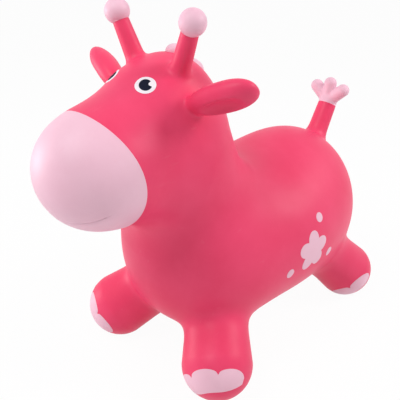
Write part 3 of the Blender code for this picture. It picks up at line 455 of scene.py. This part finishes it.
def makeFloorRub():  # scuffs that fade out above the floor, with a few stray scratches higher up
    tree, given, result = startGroup("floorRub", {
        "Vector": ("NodeSocketVector", None), "Rub Height": ("NodeSocketFloat", 0.035),
        "Scuff Size": ("NodeSocketFloat", 0.006), "Scratch Share": ("NodeSocketFloat", 0.25)},
        {"Rub": "NodeSocketFloat"})
    parts = addNode(tree, "ShaderNodeSeparateXYZ")
    tree.links.new(given["Vector"], parts.inputs[0])
    low = mapRange(tree, parts.outputs["Z"], {
        "From Min": 0.0, "From Max": given["Rub Height"], "To Min": 1.0, "To Max": 0.0}, "SMOOTHSTEP")
    scuff = noiseAt(tree, given["Vector"], given["Scuff Size"], **rubLook["scuff"])
    soles = calculate(tree, "MULTIPLY", low, mapRange(tree, scuff, rubLook["scuffRange"]))
    stretched = addNode(tree, "ShaderNodeMapping", {}, rubLook["scratchRun"])
    tree.links.new(given["Vector"], stretched.inputs["Vector"])
    hair = noiseAt(tree, stretched.outputs[0], given["Scuff Size"], **rubLook["scratch"])
    scratched = mapRange(tree, hair, rubLook["scratchRange"])
    strays = calculate(tree, "MULTIPLY", scratched, given["Scratch Share"])
    tree.links.new(calculate(tree, "MAXIMUM", soles, strays), result["Rub"])
    return tree


mouldGrain = makeMouldGrain()
pigmentDrift = makePigmentDrift()
floorRub = makeFloorRub()
grainDepth = 0.00012  # how far the grain stands out at full bump strength


def placeGroup(tree, group, vector, values):
    node = addNode(tree, "ShaderNodeGroup", {"node_tree": group}, values)
    tree.links.new(vector, node.inputs["Vector"])
    return node.outputs


def makeFinish(name, finish):
    material = bpy.data.materials.new(name)
    material.use_nodes = True
    tree = material.node_tree
    shader = tree.nodes["Principled BSDF"]
    shader.inputs["Specular IOR Level"].default_value = finish["specular"]
    vector = addNode(tree, "ShaderNodeTexCoord").outputs["Object"]
    drift = placeGroup(tree, pigmentDrift, vector, {
        "Colour": (*finish["colour"], 1), "Deep Colour": (*finish["deep"], 1),
        "Cloud Size": finish["cloud"], "Speck Share": finish["specks"]})
    rub = placeGroup(tree, floorRub, vector, {
        "Rub Height": finish["rubHeight"], "Scratch Share": finish["scratches"]})["Rub"]
    grain = placeGroup(tree, mouldGrain, vector, {"Grain Size": finish["grain"]})
    worn = addNode(tree, "ShaderNodeMix", {"data_type": "RGBA"}, {"B": (*finish["worn"], 1)})
    tree.links.new(calculate(tree, "MULTIPLY", rub, finish["rubTint"]), worn.inputs["Factor"])
    tree.links.new(drift["Colour"], worn.inputs["A"])
    tree.links.new(worn.outputs["Result"], shader.inputs["Base Color"])
    least, most = finish["roughness"]
    clouded = mapRange(tree, drift["Cloud"], {"To Min": least, "To Max": most})
    rougher = calculate(tree, "MULTIPLY_ADD", rub, finish["rubRoughness"], clouded)
    tree.links.new(rougher, shader.inputs["Roughness"])
    bump = addNode(tree, "ShaderNodeBump", {}, {"Strength": finish["bump"], "Distance": grainDepth})
    tree.links.new(grain["Height"], bump.inputs["Height"])
    tree.links.new(bump.outputs[0], shader.inputs["Normal"])
    return material


softVinyl = {
    "colour": (0.865, 0.068, 0.168), "deep": (0.820, 0.050, 0.138), "cloud": 0.085, "specks": 0.30,
    "specular": 0.22, "roughness": (0.40, 0.47), "grain": 0.0008, "bump": 0.35,
    "worn": (0.80, 0.30, 0.36), "rubHeight": 0.014, "rubTint": 0.35, "rubRoughness": 0.18, "scratches": 0.18,
}
sprayedBlush = {
    "colour": (0.880, 0.550, 0.665), "deep": (0.845, 0.500, 0.615), "cloud": 0.060, "specks": 0.45,
    "specular": 0.35, "roughness": (0.44, 0.52), "grain": 0.0006, "bump": 0.28,
    "worn": (0.84, 0.36, 0.46), "rubHeight": 0.012, "rubTint": 0.30, "rubRoughness": 0.12, "scratches": 0.22,
}
eyeWhiteInk = {
    "colour": (0.900, 0.860, 0.910), "deep": (0.850, 0.790, 0.860), "cloud": 0.010, "specks": 0.35,
    "specular": 0.30, "roughness": (0.34, 0.40), "grain": 0.0005, "bump": 0.25,
    "worn": (0.80, 0.60, 0.66), "rubHeight": 0.01, "rubTint": 0.3, "rubRoughness": 0.1, "scratches": 0.2,
}
eyeDarkInk = {
    "colour": (0.006, 0.007, 0.018), "deep": (0.010, 0.012, 0.028), "cloud": 0.006, "specks": 0.5,
    "specular": 0.06, "roughness": (0.55, 0.62), "grain": 0.0005, "bump": 0.25,
    "worn": (0.06, 0.05, 0.08), "rubHeight": 0.01, "rubTint": 0.3, "rubRoughness": 0.1, "scratches": 0.2,
}
valvePlastic = {
    "colour": (0.880, 0.875, 0.865), "deep": (0.800, 0.790, 0.775), "cloud": 0.008, "specks": 0.4,
    "specular": 0.45, "roughness": (0.32, 0.42), "grain": 0.0009, "bump": 0.3,
    "worn": (0.62, 0.58, 0.55), "rubHeight": 0.045, "rubTint": 0.3, "rubRoughness": 0.15, "scratches": 0.3,
}
vinyl = makeFinish("raspberryVinyl", softVinyl)
paint = makeFinish("blushPaint", sprayedBlush)
eyeWhite = makeFinish("eyeWhitePaint", eyeWhiteInk)
eyeDark = makeFinish("eyeDarkPaint", eyeDarkInk)
valveWhite = makeFinish("valvePlastic", valvePlastic)


def seenRays(tree):  # 1 for the rays that look at a background: the camera's, mirrored and transmitted ones
    rays = addNode(tree, "ShaderNodeLightPath").outputs
    looking = calculate(tree, "MAXIMUM", rays["Is Camera Ray"], rays["Is Glossy Ray"])
    return calculate(tree, "MAXIMUM", looking, rays["Is Transmission Ray"])


studio = {"floorColour": 0.90, "floorRoughness": 0.9, "floorGlow": 0.96, "floorSize": 24, "skyLight": 0.40}


def floorMaterial():
    material = bpy.data.materials.new("floorWhite")
    material.use_nodes = True
    tree = material.node_tree
    shader = tree.nodes["Principled BSDF"]
    shader.inputs["Base Color"].default_value = (*[studio["floorColour"]] * 3, 1)
    shader.inputs["Roughness"].default_value = studio["floorRoughness"]
    glow = addNode(tree, "ShaderNodeEmission", {}, {"Strength": 1.0})
    mix = addNode(tree, "ShaderNodeMixShader")
    tree.links.new(calculate(tree, "MULTIPLY", seenRays(tree), studio["floorGlow"]), mix.inputs[0])
    tree.links.new(shader.outputs[0], mix.inputs[1])
    tree.links.new(glow.outputs[0], mix.inputs[2])
    facing = addNode(tree, "ShaderNodeNewGeometry")
    fromBelow = addNode(tree, "ShaderNodeBsdfTransparent")
    oneSided = addNode(tree, "ShaderNodeMixShader")  # looked at from below, the floor doesn't hide the belly
    tree.links.new(facing.outputs["Backfacing"], oneSided.inputs[0])
    tree.links.new(mix.outputs[0], oneSided.inputs[1])
    tree.links.new(fromBelow.outputs[0], oneSided.inputs[2])
    tree.links.new(oneSided.outputs[0], tree.nodes["Material Output"].inputs["Surface"])
    return material


floorWhite = floorMaterial()
print("materials made")

sides = {"left": 1, "right": -1}
lap = 0.001  # how far a limb's skin lies over the body's


def dress(piece, material):
    piece.data.materials.append(material)


def limbStation(points, limb):  # how far along a limb a point is
    root, heading = limbLine(limb)
    return (points - root) @ heading


def sleeveDepth(points, limb):  # how far inside the seam's cylinder a point is
    root, heading = limbLine(limb)
    local = points - root
    return limb["seamRadius"] - np.linalg.norm(local - np.outer(local @ heading, heading), axis=1)


def keepLimb(points, faces, limb):  # keeps a limb's skin, with the lap
    along = limbStation(points, limb) - limb["sleeveFrom"]
    return cutAway(points, faces, -np.minimum(sleeveDepth(points, limb) + lap, along))


def bendWith(piece):
    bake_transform(piece)


# Body: trunk, neck and head in one skin, open at the limbs, the valve and the painted muzzle
bodyNet = {"low": (-0.17, -0.372, -0.012), "high": (0.17, 0.262, 0.53), "cell": 0.004}
valveHole = {"y": 0.106, "radius": 0.0072, "below": 0.10}  # cut only in the skin below that height
paintLine = {"y": -0.2889, "z": 0.344, "lean": math.radians(9.3), "bowRadius": 0.183}


def paintSide(points):  # positive on the painted side, never behind the middle of the line's bow
    rise = np.array([0, -math.sin(paintLine["lean"]), math.cos(paintLine["lean"])])
    back = np.array([0, math.cos(paintLine["lean"]), math.sin(paintLine["lean"])])
    middle = np.array([0, paintLine["y"], paintLine["z"]]) + back * paintLine["bowRadius"]
    local = points - middle
    radial = np.linalg.norm(local - np.outer(local @ rise, rise), axis=1) - paintLine["bowRadius"]
    return np.where(local @ back < 0, radial, -1.0)


bodyPoints, bodyFaces = layNet(skinForm, **bodyNet)
for limb in (frontLeg, hindLeg, ear, horn, tail):
    for side in ((1,) if limb is tail else (1, -1)):
        mirrored = bodyPoints * [side, 1, 1]
        inside = np.minimum(sleeveDepth(mirrored, limb), limbStation(mirrored, limb) - limb["sleeveFrom"])
        if limb is tail:
            inside = np.maximum(inside, limbStation(mirrored, limb) - tail["sleeveTo"])
        bodyPoints, bodyFaces = cutAway(bodyPoints, bodyFaces, inside)
atValve = np.minimum(valveHole["radius"] - np.hypot(bodyPoints[:, 0], bodyPoints[:, 1] - valveHole["y"]),
                     valveHole["below"] - bodyPoints[:, 2])
bodyPoints, bodyFaces = cutAway(bodyPoints, bodyFaces, atValve)
bodyPoints, bodyFaces = cutAway(bodyPoints, bodyFaces, paintSide(bodyPoints))
body = buildMesh("bodySkin", bodyPoints, bodyFaces, skinForm)
dress(body, vinyl)
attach(body, "body")
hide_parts("trunk", "neck", "head")
print("body skin made")

# Muzzle: a finer net of its own, with the shallow smile pressed into it
muzzleNet = {"low": (-0.092, -0.376, 0.258), "high": (0.092, -0.225, 0.440), "cell": 0.0016}
mouth = {
    "height": 0.3005, "curve": 1.814, "curl": 566.0, "fadeFrom": 0.057, "fadeTo": 0.068, "behind": -0.27,
    "middleShare": 0.3, "middleTo": 0.040,
    "crease": 0.0008, "creaseWidth": 0.0009,
    "lip": 0.0004, "lipBelow": 0.0048, "lipWidth": 0.0036,
    "hollow": 0.0003, "hollowAbove": 0.0050, "hollowWidth": 0.0042,
}


def muzzleForm(points):
    aside = np.abs(points[:, 0])
    rise = points[:, 2] - mouth["height"] - mouth["curve"] * aside ** 2 - mouth["curl"] * aside ** 4
    fade = np.clip((mouth["fadeTo"] - aside) / (mouth["fadeTo"] - mouth["fadeFrom"]), 0, 1)
    fade = fade * fade * (3 - 2 * fade) * (points[:, 1] < mouth["behind"])
    outward = np.clip(aside / mouth["middleTo"], 0, 1) ** 2
    fade = fade * (mouth["middleShare"] + (1 - mouth["middleShare"]) * outward)
    crease = mouth["crease"] * np.exp(-(rise / mouth["creaseWidth"]) ** 2)
    lip = mouth["lip"] * np.exp(-((rise + mouth["lipBelow"]) / mouth["lipWidth"]) ** 2)
    hollow = mouth["hollow"] * np.exp(-((rise - mouth["hollowAbove"]) / mouth["hollowWidth"]) ** 2)
    return skinForm(points) + fade * (crease + hollow - lip)


muzzlePoints, muzzleFaces = layNet(muzzleForm, **muzzleNet)
muzzlePoints, muzzleFaces = cutAway(muzzlePoints, muzzleFaces, -paintSide(muzzlePoints))
muzzle = buildMesh("muzzleSkin", muzzlePoints, muzzleFaces, muzzleForm)
dress(muzzle, paint)
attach(muzzle, "body")
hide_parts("muzzle")
print("muzzle made")

# Legs
legs = {"front": frontLeg, "hind": hindLeg}
for place, limb in legs.items():
    legPoints, legFaces = keepLimb(*layNet(skinForm, **limb["net"]), limb)
    for sideName, side in sides.items():
        leg = buildMesh(f"{sideName}{place.title()}LegSkin", legPoints, legFaces, skinForm, side)
        dress(leg, vinyl)
        bendWith(leg)
        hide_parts(f"{sideName}_{place}_leg", f"{sideName}_{place}_leg_root")
print("leg skins made")

# Ears
earPoints, earFaces = keepLimb(*layNet(skinForm, **ear["net"]), ear)
for sideName, side in sides.items():
    lobe = buildMesh(f"{sideName}EarSkin", earPoints, earFaces, skinForm, side)
    dress(lobe, vinyl)
    bendWith(lobe)
    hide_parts(f"{sideName}_ear", f"{sideName}_ear_root")

# Horns and their balls, each stem running a little way into its ball
hornPoints, hornFaces = keepLimb(*layNet(skinForm, **horn["net"]), horn)
pastCrease = limbStation(hornPoints, horn) - horn["creaseAt"] - horn["stemLap"]
hornPoints, hornFaces = cutAway(hornPoints, hornFaces, pastCrease)
hornRoot, hornHeading = limbLine(horn)
ballMiddle = hornRoot + hornHeading * horn["ballAt"]


def ballForm(points):
    return np.linalg.norm(points - ballMiddle, axis=1) - horn["ballRadius"]


ballPoints, ballFaces = layNet(ballForm, ballMiddle - horn["ballRoom"], ballMiddle + horn["ballRoom"],
                               horn["ballCell"])
for sideName, side in sides.items():
    stem = buildMesh(f"{sideName}HornSkin", hornPoints, hornFaces, skinForm, side)
    dress(stem, vinyl)
    bendWith(stem)
    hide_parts(f"{sideName}_horn", f"{sideName}_horn_root")
    ball = buildMesh(f"{sideName}HornBall", ballPoints, ballFaces, ballForm, side)
    dress(ball, paint)
    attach(ball, f"{sideName}_horn_and_ball")
    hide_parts(f"{sideName}_horn_ball")

# Tail and tuft, from one net parted where the paint starts
tailNet = layNet(skinForm, **tail["net"])
tailPoints, tailFaces = keepLimb(*tailNet, tail)
tailPoints, tailFaces = cutAway(tailPoints, tailFaces, limbStation(tailPoints, tail) - tail["tuftAt"])
tuftPoints, tuftFaces = cutAway(*tailNet, tail["tuftAt"] - limbStation(tailNet[0], tail))
tailPiece = buildMesh("tailSkin", tailPoints, tailFaces, skinForm)
tuftPiece = buildMesh("tailTuft", tuftPoints, tuftFaces, skinForm)
dress(tailPiece, vinyl)
dress(tuftPiece, paint)
bendWith(tailPiece)
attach(tuftPiece, "tail_and_tuft")
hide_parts("tail", "tail_root")
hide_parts("tail_tuft")
print("ears, horns and tail made")

# Mane: soft lobes along the nape, showing where they stand out of the skin. Angles are in degrees,
# round the throat, and each lobe's place is found by stepping out along its angle to the skin.
mane = {
    "throat": (0, -0.240, 0.248), "angles": (67, 58, 49), "endMargin": 8,
    "halfWidth": 0.0125, "halfLength": 0.0175, "height": 0.0112, "blend": 0.003, "sunk": 0.002,
    "searchFrom": 0.07, "searchRounds": 60, "searchStride": 0.8,
    "room": 0.02, "cell": 0.002,
}


def napePoint(degrees):
    heading = np.array([0, math.cos(math.radians(degrees)), math.sin(math.radians(degrees))])
    start = np.array(mane["throat"]) + heading * mane["searchFrom"]
    reach = 0.0
    for _ in range(mane["searchRounds"]):
        reach -= bodyForm((start + heading * reach)[None])[0] * mane["searchStride"]
    return start + heading * reach, heading


def maneForm(points):
    form = np.full(len(points), 1.0)  # a metre off, till a lobe is nearer
    for degrees in mane["angles"]:
        foot, heading = napePoint(degrees)
        turn = np.stack([[1.0, 0, 0], np.cross(heading, [1.0, 0, 0]), heading])
        lobe = swell(points, foot, (mane["halfWidth"], mane["halfLength"], mane["height"]), turn)
        form = smoothMin(form, lobe, mane["blend"])
    return form


firstAngle, lastAngle = mane["angles"][0] + mane["endMargin"], mane["angles"][-1] - mane["endMargin"]
maneEnds = np.array([napePoint(degrees)[0] for degrees in (firstAngle, lastAngle)])
maneLow, maneHigh = maneEnds.min(axis=0) - mane["room"], maneEnds.max(axis=0) + mane["room"]
manePoints, maneFaces = layNet(maneForm, maneLow, maneHigh, mane["cell"])
manePoints, maneFaces = cutAway(manePoints, maneFaces, -bodyForm(manePoints) - mane["sunk"])
manePiece = buildMesh("maneLobes", manePoints, maneFaces, maneForm)
dress(manePiece, paint)
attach(manePiece, "body")
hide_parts("mane")
print("mane made")

# Painted patches: thin sheets just proud of the skin, with the edge turned down into it
patch = {"proud": 0.00025, "sunk": -0.0003, "settling": 8}


def patchFrame(place, lean=0.0):  # the nearest skin point, with the directions across and up the patch there
    centre = settle(np.array([place], float), skinForm, patch["settling"])[0]
    normal = unit(slopeOf(centre[None], skinForm)[0])
    right = unit(np.cross([0.0, 0.0, 1.0], normal))
    upward = np.cross(normal, right)
    leaning = right * math.cos(lean) + upward * math.sin(lean)
    return centre, leaning, np.cross(normal, leaning)


def laidSheet(name, points, levels, faces, side):
    points = settle(points, skinForm, patch["settling"])
    normals = unit(slopeOf(points, skinForm))
    points = points + normals * levels[:, None]
    corners = points[np.array(faces)]
    facing = np.cross(corners[:, 1] - corners[:, 0], corners[:, 2] - corners[:, 0])
    outward = (facing * normals[np.array(faces)[:, 0]]).sum() > 0
    faces = faces if outward == (side > 0) else [face[::-1] for face in faces]
    return meshObject(name, points * [side, 1, 1], faces, normals * [side, 1, 1])


def layRound(name, frameOfPatch, outline, rows, proud, side=1):  # a patch of rings round a middle
    centre, right, upward = frameOfPatch
    rings = []
    for row in range(rows + 1):
        reached = outline * (row / rows)
        rings.append(centre + np.outer(reached[:, 0], right) + np.outer(reached[:, 1], upward))
    rings.append(rings[-1])
    count = len(outline)
    levels = np.full(len(rings) * count, proud)
    levels[-count:] = patch["sunk"]
    faces = []
    for row in range(rows + 1):
        inner, outer = row * count, (row + 1) * count
        for index in range(count):
            following = (index + 1) % count
            faces.append([inner + index, inner + following, outer + following, outer + index])
    return laidSheet(name, np.concatenate(rings), levels, faces, side)


def ringTurns(steps):
    return np.arange(steps) * math.tau / steps


def ovalOutline(halfLength, halfHeight, steps):
    turns = ringTurns(steps)
    return np.stack([halfLength * np.cos(turns), halfHeight * np.sin(turns)], axis=1)


# Eyes
eye = {
    "at": (0.0300, -0.2285, 0.4425), "lean": math.radians(14), "halfLength": 0.0127, "halfHeight": 0.0114,
    "pupil": 0.0077, "pupilProud": 0.0005, "glint": 0.0030, "glintAt": 0.0066,
    "steps": 64, "whiteRows": 6, "pupilRows": 4,
}


def pupilOutline():  # round, with the glint bitten out of one side
    turns = ringTurns(eye["steps"])
    aside = eye["glintAt"] * np.sin(turns)
    bite = eye["glintAt"] * np.cos(turns) - np.sqrt(np.maximum(eye["glint"] ** 2 - aside ** 2, 0))
    inBite = (np.cos(turns) > 0) & (np.abs(aside) < eye["glint"])
    reach = np.where(inBite, np.minimum(eye["pupil"], bite), eye["pupil"])
    return np.stack([reach * np.cos(turns), reach * np.sin(turns)], axis=1)


eyeFrame = patchFrame(eye["at"], eye["lean"])
whiteOutline = ovalOutline(eye["halfLength"], eye["halfHeight"], eye["steps"])
for sideName, side in sides.items():
    white = layRound(f"{sideName}EyeWhite", eyeFrame, whiteOutline, eye["whiteRows"], patch["proud"], side)
    pupil = layRound(f"{sideName}EyePupil", eyeFrame, pupilOutline(), eye["pupilRows"],
                     eye["pupilProud"], side)
    dress(white, eyeWhite)
    dress(pupil, eyeDark)
    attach(white, "body")
    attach(pupil, "body")
    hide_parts(f"{sideName}_eye_white")
    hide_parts(f"{sideName}_pupil")
print("eyes made")

# Toe prints: a band of lobes on each foot, in angles round and away from the print's own axis
toeBand = {"heel": math.radians(29), "end": math.radians(49), "endRise": math.radians(1.5), "endShare": 0.08,
           "heelPower": 4, "lobeSteps": 16, "rows": 10}
toePrints = {
    "front": {
        "heading": math.radians(-45.7), "pitch": math.radians(-36), "lobes": 3, "start": math.radians(-52),
        "width": math.radians(54), "notch": math.radians(60), "top": math.radians(70),
    },
    "hind": {
        "heading": math.radians(13.4), "pitch": math.radians(-48), "lobes": 2, "start": math.radians(12),
        "width": math.radians(64), "notch": math.radians(55), "top": math.radians(67),
    },
}


def toeGrid(toes, limb):  # the print's points on the ball of the foot, in columns from its heel to its lobes
    heading, pitch = toes["heading"], toes["pitch"]
    level = np.array([math.cos(heading), math.sin(heading), 0.0])
    axis = level * math.cos(pitch) + np.array([0.0, 0.0, math.sin(pitch)])
    upward = unit(np.array([0.0, 0.0, 1.0]) - axis * axis[2])
    sideways = np.cross(axis, upward)
    steps = toeBand["lobeSteps"]
    columns = toes["lobes"] * steps
    column = np.arange(columns + 1)
    lobe = np.minimum(column // steps, toes["lobes"] - 1)
    across = 2 * (column / steps - lobe) - 1
    outer = ((lobe == 0) & (across < 0)) | ((lobe == toes["lobes"] - 1) & (across > 0))
    turns = toes["start"] + toes["width"] * column / steps
    turns = turns + np.where(outer, toes["width"] * across * toeBand["endShare"], 0)
    valley = np.where(outer, toeBand["end"] + toeBand["endRise"], toes["notch"])
    top = valley + (toes["top"] - valley) * np.sqrt(1 - across ** 2)
    towardsEnds = np.abs(2 * column / columns - 1) ** toeBand["heelPower"]
    heel = toeBand["heel"] + (toeBand["end"] - toeBand["heel"]) * towardsEnds
    spokes = np.outer(np.cos(turns), upward) + np.outer(np.sin(turns), sideways)
    angles = heel[:, None] + (top - heel)[:, None] * np.linspace(0, 1, toeBand["rows"] + 1)
    rays = np.cos(angles)[..., None] * axis + np.sin(angles)[..., None] * spokes[:, None]
    return np.array(limb["tip"]) + rays * limb["radii"][1]


for place, facts in toePrints.items():
    grid = np.pad(toeGrid(facts, legs[place]), ((1, 1), (1, 1), (0, 0)), mode="edge")
    wide, tall = grid.shape[:2]
    levels = np.full((wide, tall), patch["proud"])
    levels[[0, -1], :] = patch["sunk"]
    levels[:, [0, -1]] = patch["sunk"]
    toeFaces = []
    for column in range(wide - 1):
        for row in range(tall - 1):
            here, beside = column * tall + row, (column + 1) * tall + row
            toeFaces.append([here, here + 1, beside + 1, beside])
    for sideName, side in sides.items():
        name = f"{sideName}{place.title()}ToePrint"
        toes = laidSheet(name, grid.reshape(-1, 3), levels.ravel(), toeFaces, side)
        dress(toes, paint)
        bendWith(toes)
        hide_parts(f"{sideName}_{place}_leg_toe_print")
print("toe prints made")

# Flower and dots on the left flank, the dots at angles in degrees round the flower
flower = {
    "at": (0.1385, 0.004, 0.176), "radius": 0.033, "petals": 5, "waist": 0.62, "steps": 120, "rows": 8,
    "dots": {"rear": -24, "upper": 66, "front": 204},
    "dot": 0.0075, "dotAt": 0.054, "dotSteps": 30, "dotRows": 3,
}


def petalOutline():
    turns = ringTurns(flower["steps"])
    lobes = np.abs(np.cos(turns * flower["petals"] / 2))
    reach = flower["radius"] * (flower["waist"] + (1 - flower["waist"]) * lobes)
    return np.stack([-reach * np.sin(turns), reach * np.cos(turns)], axis=1)


flowerFrame = patchFrame(flower["at"])
petals = layRound("flowerPrint", flowerFrame, petalOutline(), flower["rows"], patch["proud"])
dress(petals, paint)
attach(petals, "body")
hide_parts("flower_print")
flowerMiddle, flowerRight, flowerUp = flowerFrame
dotOutline = ovalOutline(flower["dot"], flower["dot"], flower["dotSteps"])
for place, degrees in flower["dots"].items():
    away = flowerRight * math.cos(math.radians(degrees)) + flowerUp * math.sin(math.radians(degrees))
    dotFrame = patchFrame(flowerMiddle + away * flower["dotAt"])
    dot = layRound(f"{place}Dot", dotFrame, dotOutline, flower["dotRows"], patch["proud"])
    dress(dot, paint)
    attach(dot, "body")
    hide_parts(f"{place}_dot_print")
print("flank prints made")

# The valve's own solids stay, in white plastic
for node in ("valve_seat", "valve_plug"):
    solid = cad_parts[node]
    solid.data.materials.clear()
    solid.data.materials.append(valveWhite)

# Floor, world and lamps
bpy.ops.mesh.primitive_plane_add(size=studio["floorSize"], location=(0, 0, 0))
floor = bpy.context.active_object
floor.name = "studioFloor"
floor.data.materials.append(floorWhite)


def lightWorld():  # soft light from all round, and plain white where a ray looks at the background
    world = bpy.data.worlds.new("studioWorld")
    bpy.context.scene.world = world
    world.use_nodes = True
    tree = world.node_tree
    background = tree.nodes["Background"]
    background.inputs["Color"].default_value = (1, 1, 1, 1)
    level = mapRange(tree, seenRays(tree), {"To Min": studio["skyLight"], "To Max": 1.0})
    tree.links.new(level, background.inputs["Strength"])


def addLamp(name, place, aim, size, power):
    light = bpy.data.lights.new(name, "AREA")
    light.shape = "DISK"
    light.size = size
    light.energy = power
    lamp = bpy.data.objects.new(name, light)
    lamp.location = place
    lamp.rotation_euler = (Vector(aim) - Vector(place)).to_track_quat("-Z", "Y").to_euler()
    bpy.context.scene.collection.objects.link(lamp)


lamps = {
    "keySoftbox": {"place": (-0.1, -1.25, 1.9), "aim": (0, 0, 0.27), "size": 1.0, "power": 20},
    "leftSoftbox": {"place": (-1.6, -1.0, 0.35), "aim": (0, 0, 0.27), "size": 0.9, "power": 13},
    "rightSoftbox": {"place": (1.3, 1.2, 1.5), "aim": (0, 0, 0.27), "size": 0.9, "power": 22},
}
lightWorld()
for name, facts in lamps.items():
    addLamp(name, **facts)

# Camera at the photograph's angle
view = {"azimuth": math.radians(42.6264), "elevation": math.radians(24.6335), "roll": math.radians(1.4030),
        "place": (0.522591, -0.666590 + lengthShift, 0.600000), "lens": 51.95, "sensor": 36}


def viewTurn():
    azimuth, elevation, roll = view["azimuth"], view["elevation"], view["roll"]
    right = Vector((math.cos(azimuth), math.sin(azimuth), 0))
    upward = Vector((-math.sin(elevation) * math.sin(azimuth), math.sin(elevation) * math.cos(azimuth),
                     math.cos(elevation)))
    turnedRight = right * math.cos(roll) + upward * math.sin(roll)
    turnedUp = upward * math.cos(roll) - right * math.sin(roll)
    return Matrix((turnedRight, turnedUp, turnedRight.cross(turnedUp))).transposed().to_4x4()


cameraData = bpy.data.cameras.new("photoCamera")
cameraData.lens = view["lens"]
cameraData.sensor_width = view["sensor"]
camera = bpy.data.objects.new("photoCamera", cameraData)
camera.matrix_world = Matrix.Translation(view["place"]) @ viewTurn()
bpy.context.scene.collection.objects.link(camera)
bpy.context.scene.camera = camera
bpy.context.scene.view_settings.view_transform = "Standard"
print("studio and camera set")
